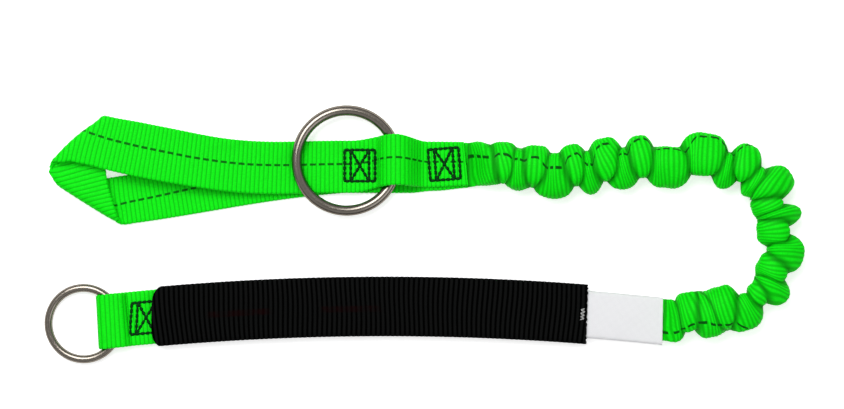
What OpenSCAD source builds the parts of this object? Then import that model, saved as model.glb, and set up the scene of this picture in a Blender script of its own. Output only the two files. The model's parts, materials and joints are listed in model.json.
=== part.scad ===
// Shock absorbing lanyard: sewn choke loop, saddle ring, ruched bungee,
// folded shock pack in a wear sleeve, and a small end ring.
// It lies in a U on the plane z = 0, millimetres, +Z up.
// The sewn leg runs along +Y, the sleeved leg along -Y, and the bend is at +X.

/* [Webbing] */
// Width of the tubular web, pressed flat
web_w = 25.4; // [24:0.1:26]
// Thickness of one flat ply of web
web_t = 2; // [1.8:0.05:2.2]
// Gap between two plies that are sewn together
ply_gap = 0.1; // [0.05:0.05:0.2]

/* [Sewing] */
// Length of a sewn box along the web
box_l = 15.6; // [14:0.2:17]
// Width of a sewn box across the web
box_w = 15.6; // [12:0.2:18]
// Spacing of the doubled bars at the ends of a box
bar_gap = 3; // [2.4:0.1:3.6]
// Width of one sewn row
thread_w = 1.4; // [1:0.1:1.6]
// Height of a sewn row above its ply
thread_h = 0.5; // [0.3:0.05:0.55]

/* [Rings] */
// Inside diameter of the saddle ring
saddle_id = 43.4; // [42:0.1:46]
// Wire diameter of the saddle ring
saddle_wire = 5; // [4.6:0.1:5.4]
// Inside diameter of the end ring
end_id = 30.8; // [29:0.1:33]
// Wire diameter of the end ring
end_wire = 3.8; // [3.4:0.1:4.2]
// Play between the saddle ring's wire and the keeper over it
ring_play = 0.35; // [0.3:0.05:0.5]
// Play between the end ring's wire and its pocket
pocket_play = 0.75; // [0.7:0.05:1]

/* [Choke loop] */
// Length of the loop's front ply, from the first sewn box to the fold
loop_l = 125; // [110:1:135]
// Sideways rise of the front ply towards the fold
loop_rise = 11.8; // [9:0.2:14]
// Turn of the front ply where it meets the first fold
front_turn = 14; // [10:1:16]
// Lean of the short flap between the two folds
flap_lean = 7.8; // [5:0.2:10]
// Turn of the rear ply where it leaves the second fold
rear_turn = 8.6; // [7:0.2:11]
// Length of the flap between the folds, on its middle line
flap_l = 18; // [17:0.1:21]
// Radius of each fold, on the middle of the ply
fold_r = 2.4; // [2.3:0.1:3]
// Width of the web where the folds spread it
fold_w = 29.2; // [26:0.1:30]

/* [Ring keeper] */
// Sideways bow of the keeper ply over the ring
keeper_bow = 3; // [1:0.1:3.6]
// Web left past the second sewn box, up to the cut end
tail_l = 3.4; // [2:0.2:5]
// Distance from a sewn box to where its ply starts to bend
seam_margin = 0.6; // [0.4:0.1:1.5]

/* [Bungee] */
// Half width of the ruched cover over a middling lump
bungee_hw = 12.2; // [11.4:0.1:13]
// Half height of the ruched cover over a middling lump
bungee_hh = 8; // [7.4:0.1:9]
// Swell of a lump's upper face over its two sides
lump_rise = 1.8; // [1:0.1:2.4]
// Width of the elastic core
core_w = 6; // [4:0.2:6.4]
// Thickness of the elastic core
core_t = 3.4; // [2.4:0.1:4.4]
// Least wall of the gathered cover round its bore
cover_wall = 1; // [0.8:0.05:1.2]

/* [Sleeve and label] */
// Length of the wear sleeve
sleeve_l = 210; // [180:1:230]
// Width of the wear sleeve
sleeve_w = 28.8; // [28.6:0.1:31]
// Wall of the wear sleeve
sleeve_wall = 0.9; // [0.7:0.05:1]
// Length of the wrapped label
label_l = 40.6; // [38:0.1:44]
// Length of the label that shows past the sleeve
label_show = 37; // [30:0.1:37.4]
// Thickness of the label
label_t = 0.5; // [0.3:0.05:0.6]

/* [Shock pack] */
// Width of the folded pack inside the sleeve
pack_w = 24.4; // [22:0.1:25]
// Thickness of one ply of the pack
pack_t = 2; // [1.8:0.05:2.2]
// Gap between two plies of the pack
pack_gap = 0.2; // [0.1:0.05:0.3]
// Play between the pack and the inside of the sleeve
pack_play = 0.65; // [0.6:0.05:0.9]
// Length of the folded part of the pack
pack_l = 145; // [110:1:150]
// Spacing of the tear stitches along the pack
tear_pitch = 6; // [5:0.5:10]
// Width of the lead that runs from the bungee into the pack
lead_w = 21.6; // [20:0.1:22]
// Thickness of that lead
lead_h = 5.4; // [5:0.1:5.6]

/* [End loop] */
// Width of the web that holds the end ring
end_w = 26.2; // [25:0.1:26.4]
// Length of the fold past the end ring's wire, with its ply
end_nose = 2.5; // [2.4:0.1:5]
// Length of the end box that the sleeve hides
box_hidden = 4.6; // [2:0.2:7]

/* [Hidden] */
$fn = 96;
// Clearance between parts that move against each other
clear = 0.3;
// Overlap that joins two pieces of one solid
lap = 0.3;
// Step from the faces of a ply in to its fold
fold_ease = 0.05;
// Gap where the bend meets the sleeved leg
end_gap = 0.9;
// Middle line of the sewn leg
leg_y = 32.6;
// Heights of the two plies of the sewn leg, middle of each ply
base_z = thread_h + web_t / 2;
keep_z = base_z + web_t + ply_gap;

// Route of the bungee, in plan, from the cut end to the label
route = [
  [20.6, leg_y],
  [32, leg_y],
  [46, 31.8],
  [62, 30.8],
  [84, 32.4],
  [104, 34.4],
  [124, 34.6],
  [139, 34],
  [153.5, 30],
  [163, 23],
  [168.6, 13],
  [171.4, 1],
  [170.6, -12],
  [166, -23],
  [157.5, -31.4],
  [146, -36.4],
  [132, -40.3],
  [122, -42.6],
  [114.6, -42.2]
];

// Points of a smooth curve through a list, steps per span
function catmull(p, i, t) =
  let (a = p[max(i - 1, 0)])
  let (b = p[i])
  let (c = p[i + 1])
  let (d = p[min(i + 2, len(p) - 1)])
  0.5 * (2 * b + (c - a) * t + (2 * a - 5 * b + 4 * c - d) * t * t
    + (3 * b - a - 3 * c + d) * t * t * t);
function smooth(p, k) = concat(
  [for (i = [0 : len(p) - 2]) for (j = [0 : k - 1]) catmull(p, i, j / k)],
  [p[len(p) - 1]]
);
function run(p, i) = i == 0 ? 0 : run(p, i - 1) + norm(p[i] - p[i - 1]);

mid_line = smooth(route, 6);
mid_s = [for (i = [0 : len(mid_line) - 1]) run(mid_line, i)];
mid_x = [for (i = [0 : len(mid_line) - 1]) [mid_s[i], mid_line[i][0]]];
mid_y = [for (i = [0 : len(mid_line) - 1]) [mid_s[i], mid_line[i][1]]];
bungee_l = mid_s[len(mid_s) - 1];
function mid(s) = [lookup(s, mid_x), lookup(s, mid_y)];
function along(s) =
  let (d = mid(min(s + 1, bungee_l)) - mid(max(s - 1, 0)))
  d / norm(d);

// Pleats of the ruched cover. Each row has the outer side's notch, as a distance along
// the route, its depth and the swell of the lump after it, then the same for the inner side
pleats = [
  [9, 1.2, 0.1, 16, 4.2, -1.7],
  [24, 2.1, -0.5, 31, 3.3, 1.4],
  [42, 3.7, -0.1, 51, 3.8, 0.6],
  [57, 3.4, 2.4, 66, 5.3, -0.3],
  [75, 3.8, 1.5, 84, 4.9, 0.1],
  [97, 4.6, 3, 114, 6.4, -1.3],
  [126, 4.3, 2.1, 135, 7.2, -2.4],
  [141, 4.4, 2.8, 147, 3.6, -1.4],
  [156, 7, 0.3, 160, 2.2, -0.6],
  [168, 6.8, 0.1, 178, 5.7, -2.6],
  [188, 5.1, 0.4, 198, 5.2, -5.2],
  [203, 6.2, 2.3, 210, 7.6, -0.2],
  [222, 2.6, -1.3, 230, 0.2, 0.9],
  [239, 7.7, -2.6, 245, 1.7, -0.7]
];
last_pleat = len(pleats) - 1;
// Pleat where the straight run ends and the bend begins, and the core's own split there
split_pleat = 6;
split_s = (pleats[split_pleat][0] + pleats[split_pleat][3]) / 2;
// Rows of the solid in each fold, points round each row, the same for the core,
// and the share of a pleat that a fold keeps where it is pinched
fold_rows = 4;
cover_n = 16;
core_rows = 32;
core_n = 12;
pinch = 0.06;
// Length over which the flat ends open into the full pleats
ease_l = 12;

start_hh = (keep_z + web_t / 2 - thread_h) / 2;
function ease(s, first, full, last) =
  lookup(s, [[0, first], [ease_l, full], [bungee_l - ease_l, full], [bungee_l, last]]);
lump_hh = bungee_hh * (1 + lump_rise / bungee_hw);
function cover_z(s) = ease(s, thread_h + start_hh, lump_hh + clear, leg_z);
function cover_hh(s) = ease(s, start_hh, bungee_hh, lead_h / 2);
function mix(a, b, f) = a + (b - a) * f;
// Share of the way from the outer side of the cover, at angle 0, to its inner side
function across(a) = mix(pinch, 1 - pinch, (1 - cos(a)) / 2);
least_hw = core_w / 2 + clear + cover_wall;
function outer_notch(k) = max(least_hw, bungee_hw - pleats[k][1]);
function outer_lump(k) = max(least_hw, bungee_hw + pleats[k][2]);
function inner_notch(k) = max(least_hw, bungee_hw - pleats[k][4]);
function inner_lump(k) = max(least_hw, bungee_hw + pleats[k][5]);
// Creases zigzag between the notches: one falls from the outer side, the next climbs back.
// Each is a distance along the route and the half width there
function fall(k, f) = [
  mix(pleats[k][0], pleats[k][3], f), mix(outer_notch(k), inner_notch(k), f)
];
function climb(k, f) = [
  mix(pleats[k + 1][0], pleats[k][3], f), mix(outer_notch(k + 1), inner_notch(k), f)
];
// Point of a fold between two creases, t from 0 to 1 between them, crest its half width
function fold_point(c0, c1, crest, t, a) =
  let (c = mix(c0, c1, t))
  let (full = sqrt(max(0, 1 - pow(2 * t - 1, 2))))
  let (w = mix(c[1], max(c[1], crest + lump_rise * pow(sin(a), 2)), full))
  cover_point(c[0], w, w / bungee_hw * cover_hh(c[0]), a);
function cover_point(s, w, h, a) =
  let (d = along(s))
  let (m = mid(s))
  [m[0] - d[1] * w * cos(a), m[1] + d[0] * w * cos(a), cover_z(s) + h * sin(a)];
function angles(n) = [for (j = [0 : n - 1]) 360 * j / n];
function outer_fold(k, t) = [
  for (a = angles(cover_n))
    let (f = across(a))
    fold_point(fall(k, f), climb(k, f), mix(outer_lump(k), inner_notch(k), f), t, a)
];
function inner_fold(k, t) = [
  for (a = angles(cover_n))
    let (f = across(a))
    fold_point(climb(k, f), fall(k + 1, f), mix(outer_notch(k + 1), inner_lump(k), f), t, a)
];
// Flat lead into the first crease, and out of the last one
function lead_fold(s, hw, k, crest, t) = [
  for (a = angles(cover_n))
    fold_point([s, hw], fall(k, across(a)), crest, t, a)
];
// Ring on a crease, moved a little along the route
function crease_ring(k, step) = [
  for (a = angles(cover_n))
    let (c = fall(k, across(a)))
    cover_point(c[0] + step, c[1], c[1] / bungee_hw * cover_hh(c[0]), a)
];
// Elastic core, and the bore of the cover that it runs through
function core_hh(s) = min(core_t / 2, cover_hh(s) - cover_wall - clear);
function core_ring(s) = [
  for (a = angles(core_n)) cover_point(s, core_w / 2, core_hh(s), a)
];
// Rings of the bore between a straight end and the slanting crease at the split
function bore_rings(s, step, m) = [
  for (i = [0 : m])
    [
      for (a = angles(cover_n))
        let (c = mix(s, fall(split_pleat, across(a))[0] + step, i / m))
        cover_point(c, core_w / 2 + clear, core_hh(c) + clear, a)
    ]
];
function backwards(rows) = [for (i = [len(rows) - 1 : -1 : 0]) rows[i]];

// Chain of positions along the sewn leg, from the bungee to the choke loop
cut_x = route[0][0] - clear;
box_b_x1 = cut_x - tail_l;
box_b_x0 = box_b_x1 - box_l;
saddle_r = (saddle_id + saddle_wire) / 2;
// Reach of a ring's wire from its crown, within the width of the web round it
function wire_reach(id, wire, w) = (id + wire) / 2 - sqrt(pow(id / 2, 2) - pow(w / 2, 2));
// Arch of the keeper ply: it clears the wire at every angle of the ring
arch_r = wire_reach(saddle_id, saddle_wire, web_w) + ring_play + web_t / 2;
arch_z = base_z + web_t / 2 + saddle_wire / 2 + ring_play;
arch_lean = 50;
arch_fillet = 6;
arch_foot = 1.5;
arch_drop = arch_z + arch_r * cos(arch_lean) - keep_z - arch_fillet * (1 - cos(arch_lean));
crown_x = box_b_x0 - seam_margin - arch_fillet * sin(arch_lean)
  - arch_drop / tan(arch_lean) - arch_r * sin(arch_lean);
foot_x = crown_x
  - sqrt(pow(arch_r + arch_foot, 2) - pow(keep_z + arch_foot - arch_z, 2));
box_a_x1 = foot_x - seam_margin;
box_a_x0 = box_a_x1 - box_l;
loop_x = box_a_x0 - seam_margin;
ring_y = leg_y + keeper_bow;

// Middle line of the keeper ply, side view: flat, up over the ring, flat again
foot_turn = atan2(arch_z - keep_z - arch_foot, crown_x - foot_x);
keeper_line = concat(
  [for (x = [0 : 4]) [loop_x + (foot_x - loop_x) * x / 5, keep_z, 0]],
  [
    for (a = [0 : 15 : 90 + foot_turn])
      [foot_x + arch_foot * sin(a), keep_z + arch_foot * (1 - cos(a)), a]
  ],
  [
    for (a = [90 + foot_turn - 9 : -11 : -arch_lean])
      [crown_x - arch_r * sin(a), arch_z + arch_r * cos(a), a]
  ],
  [
    for (a = [-arch_lean : arch_lean / 5 : 0])
      [
        box_b_x0 - seam_margin + arch_fillet * sin(a),
        keep_z + arch_fillet * (1 - cos(a)),
        a
      ]
  ],
  [for (x = [1 : 5]) [box_b_x0 + (cut_x - box_b_x0) * x / 5, keep_z, 0]]
);
function step(f) =
  let (c = min(1, max(0, f)))
  c * c * (3 - 2 * c);
// The ply is sewn straight at both ends and bows sideways round the ring
function bow(x) =
  let (a = (box_a_x0 + box_a_x1) / 2)
  let (b = box_b_x1)
  keeper_bow * min(step((x - a) / (foot_x - a)), step((b - x) / (b - crown_x - arch_r)));

// Choke loop: the front ply rises to a fold, a flap turns down, the rear ply runs back
flap_z = base_z + 2 * fold_r;
front_top = flap_z + 2 * fold_r;
function front_z(t) =
  keep_z + (front_top - keep_z) * step(t / 0.86);
function dir(a) = [cos(a), sin(a)];
function left(d) = [-d[1], d[0]];
function bez(t, a, b, c, d) =
  pow(1 - t, 3) * a + 3 * t * pow(1 - t, 2) * b + 3 * t * t * (1 - t) * c + pow(t, 3) * d;
function bez_dir(t, a, b, c, d) =
  let (v = pow(1 - t, 2) * (b - a) + 2 * t * (1 - t) * (c - b) + t * t * (d - c))
  v / norm(v);
function up3(p, z) = [p[0], p[1], z];

front_head = dir(180 - front_turn);
fold_a_dir = dir((180 - front_turn + 270 + flap_lean) / 2 + 180);
fold_a_out = left(fold_a_dir);
flap_head = dir(270 + flap_lean);
flap_side = fold_a_dir * (left(front_head) * fold_a_dir)
  - fold_a_out * (left(front_head) * fold_a_out);
fold_b_dir = dir((270 + flap_lean + 360 + rear_turn) / 2);
fold_b_out = -left(fold_b_dir);
rear_head = dir(rear_turn);
rear_side = fold_b_dir * (flap_side * fold_b_dir) - fold_b_out * (flap_side * fold_b_out);

loop_start = [loop_x, leg_y];
fold_a = loop_start + [-loop_l, loop_rise];
fold_a_end = fold_a
  + fold_a_dir * (front_head * fold_a_dir) * (PI * fold_r / (front_head * fold_a_out));
fold_b = fold_a_end + flap_head * flap_l;
fold_b_end = fold_b
  + fold_b_dir * (flap_head * fold_b_dir) * (PI * fold_r / (flap_head * fold_b_out));

// One ruling across a ply: both edges and the normal of its tracer face
function flat_row(p, side, z, w) = [
  up3(p + side * w / 2, z), up3(p - side * w / 2, z), [0, 0, 1]
];
function spread(f) = web_w + (fold_w - web_w) * pow(max(0, min(1, f)), 2);
// One ruling on a rolled fold, at an angle of the roll
function edge_s(q, v, head, side, out) = (q - v * (side * out)) / (head * out);
function roll_edge(p, head, side, fd, out, a, v, z) =
  let (s = edge_s(PI * fold_r * a / 180, v, head, side, out))
  up3(
    p + fd * (s * (head * fd) + v * (side * fd)) + out * fold_r * sin(a),
    z - fold_r + fold_r * cos(a)
  );
function roll_row(p, head, side, fd, out, a, z, face) = [
  roll_edge(p, head, side, fd, out, a, fold_w / 2, z),
  roll_edge(p, head, side, fd, out, a, -fold_w / 2, z),
  face * [out[0] * sin(a), out[1] * sin(a), cos(a)]
];
fold_a_lead = fold_w / 2 * abs(left(front_head) * fold_a_out / (front_head * fold_a_out));
fold_b_lead = fold_w / 2 * abs(flap_side * fold_b_out / (flap_head * fold_b_out));
// Flat web kept before each fold's slanting edge
fold_past = 2;
front_stop = 1 - (fold_a_lead + fold_past) / loop_l;
rear_go = (fold_b_lead + fold_past) / loop_l;
loop_rows = concat(
  [
    for (i = [0 : 16])
      let (t = i / 16 * front_stop)
      let (b = loop_start - [loop_l / 3, 0])
      let (c = fold_a - front_head * loop_l / 3)
      flat_row(
        bez(t, loop_start, b, c, fold_a),
        left(bez_dir(t, loop_start, b, c, fold_a)),
        front_z(t),
        spread((t - 0.7) * 5)
      )
  ],
  [
    for (a = [0 : 22.5 : 180])
      roll_row(fold_a, front_head, left(front_head), fold_a_dir, fold_a_out, a, front_top, 1)
  ],
  [
    for (a = [0 : 22.5 : 180])
      roll_row(fold_b, flap_head, flap_side, fold_b_dir, fold_b_out, a, flap_z, -1)
  ],
  [
    for (i = [0 : 14])
      let (t = rear_go + (1 - rear_go) * i / 14)
      let (b = fold_b_end + rear_head * loop_l / 3)
      let (c = loop_start - [loop_l / 4, 0])
      flat_row(
        bez(t, fold_b_end, b, c, loop_start),
        left(bez_dir(t, fold_b_end, b, c, loop_start)),
        base_z,
        spread((0.3 - t) * 5)
      )
  ]
);

// Saddle ring: crown in the keeper, far side resting on the front ply
ring_far_x = crown_x - 2 * saddle_r;
ring_far_z = front_z((loop_x - ring_far_x) / loop_l) + web_t / 2 + saddle_wire / 2 + clear;
saddle_tilt = asin((ring_far_z - arch_z) / (2 * saddle_r));

// Sleeved leg: it lies on one wide arc, and u runs along that arc from its top
arc_r = 1250;
arc_x = -19.6;
sleeved_y = -35;
arc_y = sleeved_y - arc_r;
sleeve_h = 3 * pack_t + 2 * pack_gap + 2 * pack_play + 2 * sleeve_wall;
sleeve_round = 2;
leg_z = sleeve_h / 2;
ply_z = [
  sleeve_wall + pack_play,
  sleeve_wall + pack_play + pack_t + pack_gap,
  sleeve_wall + pack_play + 2 * (pack_t + pack_gap)
];
function deg(u) = u / arc_r * 180 / PI;
label_u1 = 134.4;
label_u0 = label_u1 - label_l;
sleeve_u1 = label_u1 - label_show;
sleeve_u0 = sleeve_u1 - sleeve_l;
label_fit = 0.3;
label_round = 1;
label_h = lead_h + 2 * label_t + label_fit;
label_w = lead_w + 2 * label_t + label_fit;
core_end_l = 26;
// Pale tack at the sleeve's end: its length, and its distance in from the edge
tack_l = 6;
tack_in = 2;
// Lead past the label, then one ply up to the folded part of the pack
lead_past = 3;
ply_past = 26;
lead_u0 = label_u0 - lead_past;
pack_u1 = lead_u0 - ply_past;
pack_u0 = pack_u1 - pack_l;
// Pack left free of tear stitches at each end
tear_in = 10;
box_c_u1 = sleeve_u0 + box_hidden;
box_c_u0 = box_c_u1 - box_l;
// Web left past the end box
end_past = 4;
end_u1 = box_c_u1 + end_past;
// End pocket: the ply leaves the sewn stack, goes round the wire and comes back
end_r = (end_id + end_wire) / 2;
end_low = ply_z[0] + pack_t / 2;
end_top = end_low + pack_t + ply_gap;
pocket_r = end_wire / 2 + pocket_play + pack_t / 2;
pocket_z = pocket_r + pack_t / 2;
pocket_u1 = box_c_u0 - seam_margin;
flex_top = 60;
flex_low = 30;
flex_fillet = 1.2;
end_crown_u = pocket_u1 - pocket_r * sin(flex_top) - flex_fillet * sin(flex_top)
  - (pocket_z + pocket_r * cos(flex_top) - end_top - flex_fillet * (1 - cos(flex_top)))
  / tan(flex_top);
nose_u = end_crown_u - wire_reach(end_id, end_wire, end_w) - end_nose + pocket_r + pack_t / 2;
low_rise = end_low - pocket_z + pocket_r * cos(flex_low) - flex_fillet * (1 - cos(flex_low));
low_u = end_crown_u + pocket_r * sin(flex_low) + low_rise / tan(flex_low)
  + flex_fillet * sin(flex_low);
// Middle line of the pocket, as distance along the leg, height and slope
pocket_line = concat(
  [[pocket_u1, end_low, 180]],
  [
    for (a = [0 : 10 : flex_low])
      [low_u - flex_fillet * sin(a), end_low - flex_fillet * (1 - cos(a)), 180 + a]
  ],
  [
    for (a = [flex_low : -10 : 0])
      [end_crown_u + pocket_r * sin(a), pocket_z - pocket_r * cos(a), 180 + a]
  ],
  [
    for (a = [0 : 15 : 180])
      [nose_u - pocket_r * sin(a), pocket_z - pocket_r * cos(a), 180 - a]
  ],
  [
    for (a = [0 : 12 : flex_top])
      [end_crown_u + pocket_r * sin(a), pocket_z + pocket_r * cos(a), -a]
  ],
  [
    for (a = [flex_top : -12 : 0])
      [pocket_u1 - flex_fillet * sin(a), end_top + flex_fillet * (1 - cos(a)), -a]
  ]
);
end_tilt = -asin((pocket_z - end_wire / 2) / (2 * end_r));

WEB = [0.05, 0.75, 0.1];
STEEL = [0.45, 0.42, 0.38];
THREAD = [0.02, 0.22, 0.04];
BLACK = [0.05, 0.05, 0.05];
WHITE = [0.92, 0.92, 0.92];
LATEX = [0.75, 0.68, 0.5];

// A flat ply drawn through rulings
module ribbon(rows, t) {
  n = len(rows);
  pts = [
    for (r = rows)
      each [r[0] + r[2] * t / 2, r[1] + r[2] * t / 2, r[1] - r[2] * t / 2, r[0] - r[2] * t / 2]
  ];
  sides = [
    for (i = [0 : n - 2])
      for (k = [0 : 3])
        let (a = 4 * i + k)
        let (b = 4 * i + (k + 1) % 4)
        each [[a, b, b + 4], [a, b + 4, a + 4]]
  ];
  ends = [
    [2, 1, 0],
    [3, 2, 0],
    [4 * n - 4, 4 * n - 3, 4 * n - 2],
    [4 * n - 4, 4 * n - 2, 4 * n - 1]
  ];
  polyhedron(pts, concat(sides, ends));
}

// A solid swept through rings of n points
module sweep(rings, n) {
  m = len(rings);
  pts = [for (r = rings) each r];
  sides = [
    for (i = [0 : m - 2])
      for (j = [0 : n - 1])
        let (a = i * n + j)
        let (b = i * n + (j + 1) % n)
        each [[a, a + n, b + n], [a, b + n, b]]
  ];
  first = [for (j = [1 : n - 2]) [0, j, j + 1]];
  last = [for (j = [1 : n - 2]) [(m - 1) * n, (m - 1) * n + j + 1, (m - 1) * n + j]];
  polyhedron(pts, concat(sides, first, last));
}

// A tube between outer rings and inner rings, with open ends
module tube(outer, inner, n) {
  m = len(outer);
  k = len(inner);
  pts = concat([for (r = outer) each r], [for (r = inner) each r]);
  o = m * n;
  wall = [
    for (i = [0 : m - 2])
      for (j = [0 : n - 1])
        let (a = i * n + j)
        let (b = i * n + (j + 1) % n)
        each [[a, a + n, b + n], [a, b + n, b]]
  ];
  bore = [
    for (i = [0 : k - 2])
      for (j = [0 : n - 1])
        let (a = o + i * n + j)
        let (b = o + i * n + (j + 1) % n)
        each [[a, b + n, a + n], [a, b, b + n]]
  ];
  mouth = [
    for (j = [0 : n - 1])
      let (c = (j + 1) % n)
      let (p = (m - 1) * n)
      let (q = o + (k - 1) * n)
      each [
        [j, c, o + c],
        [j, o + c, o + j],
        [p + j, q + c, p + c],
        [p + j, q + j, q + c]
      ]
  ];
  polyhedron(pts, concat(wall, bore, mouth));
}

// Folds of the ruched cover from one pleat up to another
function folds(k0, k1) = [
  for (k = [k0 : k1 - 1])
    each concat(
      [for (i = [0 : fold_rows - 1]) outer_fold(k, i / fold_rows)],
      [for (i = [0 : fold_rows - 1]) inner_fold(k, i / fold_rows)]
    )
];
module core(s0, s1) {
  sweep([for (i = [0 : core_rows]) core_ring(mix(s0, s1, i / core_rows))], core_n);
}

// Outline of a sewn box: a frame, doubled end bars and a cross
module bar(p, q) {
  d = q - p;
  translate(p)
    rotate(atan2(d[1], d[0]))
      translate([-thread_w / 2, -thread_w / 2])
        square([norm(d) + thread_w, thread_w]);
}
module box_rows() {
  x = (box_l - thread_w) / 2;
  y = (box_w - thread_w) / 2;
  i = x - bar_gap;
  bar([-x, y], [x, y]);
  bar([-x, -y], [x, -y]);
  for (e = [-x, -i, i, x])
    bar([e, -y], [e, y]);
  bar([-i, -y], [i, y]);
  bar([-i, y], [i, -y]);
}
// Rows above and below the plies, with the thread that passes through them
module sewn_box(z0, z1) {
  x = (box_l - thread_w) / 2;
  y = (box_w - thread_w) / 2;
  translate([0, 0, z1])
    linear_extrude(thread_h)
      box_rows();
  translate([0, 0, z0 - thread_h])
    linear_extrude(thread_h)
      box_rows();
  for (p = [[-x, -y], [-x, y], [x, -y], [x, y], [0, 0]])
    translate([p[0], p[1], z0 - thread_h / 2])
      cylinder(d = thread_w * 0.6, h = z1 - z0 + thread_h);
}

// A short sewn bar across the web, through every ply between two heights
module tack(l, z0, z1) {
  for (z = [z0 - thread_h, z1])
    translate([-thread_w / 2, -l / 2, z])
      cube([thread_w, l, thread_h]);
  for (y = [-l / 2 + thread_w / 2, 0, l / 2 - thread_w / 2])
    translate([0, y, z0 - thread_h / 2])
      cylinder(d = thread_w * 0.6, h = z1 - z0 + thread_h);
}

// Place on the sleeved leg, and bars that follow its arc
module on_arc(u) {
  translate([arc_x, arc_y, 0])
    rotate([0, 0, -deg(u)])
      translate([0, arc_r, 0])
        children();
}
module arc_sweep(u0, u1) {
  translate([arc_x, arc_y, 0])
    rotate([0, 0, 90 - deg(u1)])
      rotate_extrude(angle = deg(u1 - u0), $fn = 720)
        translate([arc_r, 0])
          children();
}
module arc_bar(u0, u1, w, z0, z1) {
  arc_sweep(u0, u1)
    translate([-w / 2, z0])
      square([w, z1 - z0]);
}
module round_bar(w, h, r) {
  square([w - 2 * r, h], center = true);
  square([w, h - 2 * r], center = true);
  for (x = [-1, 1])
    for (y = [-1, 1])
      translate([x * (w / 2 - r), y * (h / 2 - r)])
        circle(r);
}

module torus(r, d) {
  rotate_extrude($fn = 180)
    translate([r, 0])
      circle(d = d);
}

module choke_loop() {
  color(WEB)
    ribbon(loop_rows, web_t);
}

module keeper_web() {
  rows = [
    for (p = keeper_line)
      let (y = leg_y + bow(p[0]))
      [[p[0], y + web_w / 2, p[1]], [p[0], y - web_w / 2, p[1]], [-sin(p[2]), 0, cos(p[2])]]
  ];
  color(WEB)
    ribbon(rows, web_t);
}

module base_web() {
  color(WEB)
    translate([loop_x, leg_y - web_w / 2, base_z - web_t / 2])
      cube([cut_x - loop_x, web_w, web_t]);
}

module box_stitch_a() {
  color(THREAD)
    translate([(box_a_x0 + box_a_x1) / 2, leg_y, 0])
      sewn_box(base_z - web_t / 2, keep_z + web_t / 2);
}

module box_stitch_b() {
  color(THREAD)
    translate([(box_b_x0 + box_b_x1) / 2, leg_y, 0])
      sewn_box(base_z - web_t / 2, keep_z + web_t / 2);
}

module saddle_ring() {
  color(STEEL)
    translate([crown_x, ring_y, arch_z])
      rotate([0, saddle_tilt, 0])
        translate([-saddle_r, 0, 0])
          torus(saddle_r, saddle_wire);
}

module stretch_cover() {
  lead = [
    for (i = [0 : fold_rows - 1])
      lead_fold(0, web_w / 2 - cover_wall, 0, bungee_hw, i / fold_rows)
  ];
  outer = concat(lead, folds(0, split_pleat), [crease_ring(split_pleat, -clear / 2)]);
  color(WEB)
    tube(outer, bore_rings(0, -clear / 2, core_rows), cover_n);
}

module stretch_core() {
  color(LATEX)
    core(0, split_s - clear / 2);
}

module core_tack_a() {
  s = core_w / 2;
  color(THREAD)
    translate(up3(mid(s), 0))
      tack(
        core_w,
        cover_z(s) - cover_hh(s) + thread_h + clear,
        cover_z(s) + cover_hh(s) - thread_h - clear
      );
}

module bend_cover() {
  end_s = bungee_l - end_gap;
  lead = [
    for (i = [fold_rows : -1 : 0])
      lead_fold(end_s, lead_w / 2, last_pleat, outer_lump(last_pleat), i / fold_rows)
  ];
  outer = concat(
    [crease_ring(split_pleat, clear / 2)],
    [for (r = folds(split_pleat, last_pleat)) if (r != outer_fold(split_pleat, 0)) r],
    lead
  );
  color(WEB)
    tube(outer, backwards(bore_rings(end_s, clear / 2, core_rows)), cover_n);
}

module bend_core() {
  color(LATEX)
    core(split_s + clear / 2, bungee_l - end_gap);
}

module core_end() {
  color(LATEX)
    arc_bar(label_u1 - core_end_l, label_u1, core_w, leg_z - core_t / 2, leg_z + core_t / 2);
}

module core_tack_b() {
  color(THREAD)
    on_arc(label_u1 - core_end_l / 2)
      tack(core_w - 1, leg_z - lead_h / 2 + thread_h, leg_z + lead_h / 2 - thread_h);
}

module label() {
  color(WHITE)
    arc_sweep(label_u0, label_u1)
      translate([0, leg_z])
        difference() {
          round_bar(label_w, label_h, label_round);
          square([lead_w + label_fit, lead_h + label_fit], center = true);
        }
}

// Half round that joins two plies of the pack, a little inside their faces
module pack_fold(u, z, side) {
  on_arc(u)
    translate([0, pack_w / 2 - fold_ease, z])
      rotate([90, 0, 0])
        linear_extrude(pack_w - 2 * fold_ease)
          intersection() {
            difference() {
              circle(pack_t + pack_gap / 2 - fold_ease);
              circle(pack_gap / 2 + fold_ease);
            }
            translate([side > 0 ? -lap : lap - 2 * pack_t, -2 * pack_t])
              square([2 * pack_t, 4 * pack_t]);
          }
}

module pack_web() {
  color(WEB)
    union() {
      difference() {
        arc_bar(lead_u0, label_u1, lead_w, leg_z - lead_h / 2, leg_z + lead_h / 2);
        arc_bar(
          label_u1 - core_end_l - clear,
          label_u1 + lap,
          core_w + 2 * clear,
          leg_z - core_t / 2 - clear,
          leg_z + core_t / 2 + clear
        );
      }
      arc_bar(pack_u0, lead_u0 + lap, pack_w, ply_z[2], ply_z[2] + pack_t);
      pack_fold(pack_u0, ply_z[2] - pack_gap / 2, -1);
      arc_bar(pack_u0, pack_u1, pack_w, ply_z[1], ply_z[1] + pack_t);
      pack_fold(pack_u1, ply_z[1] - pack_gap / 2, 1);
      arc_bar(end_u1, pack_u1, pack_w, ply_z[0], ply_z[0] + pack_t);
    }
}

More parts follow.
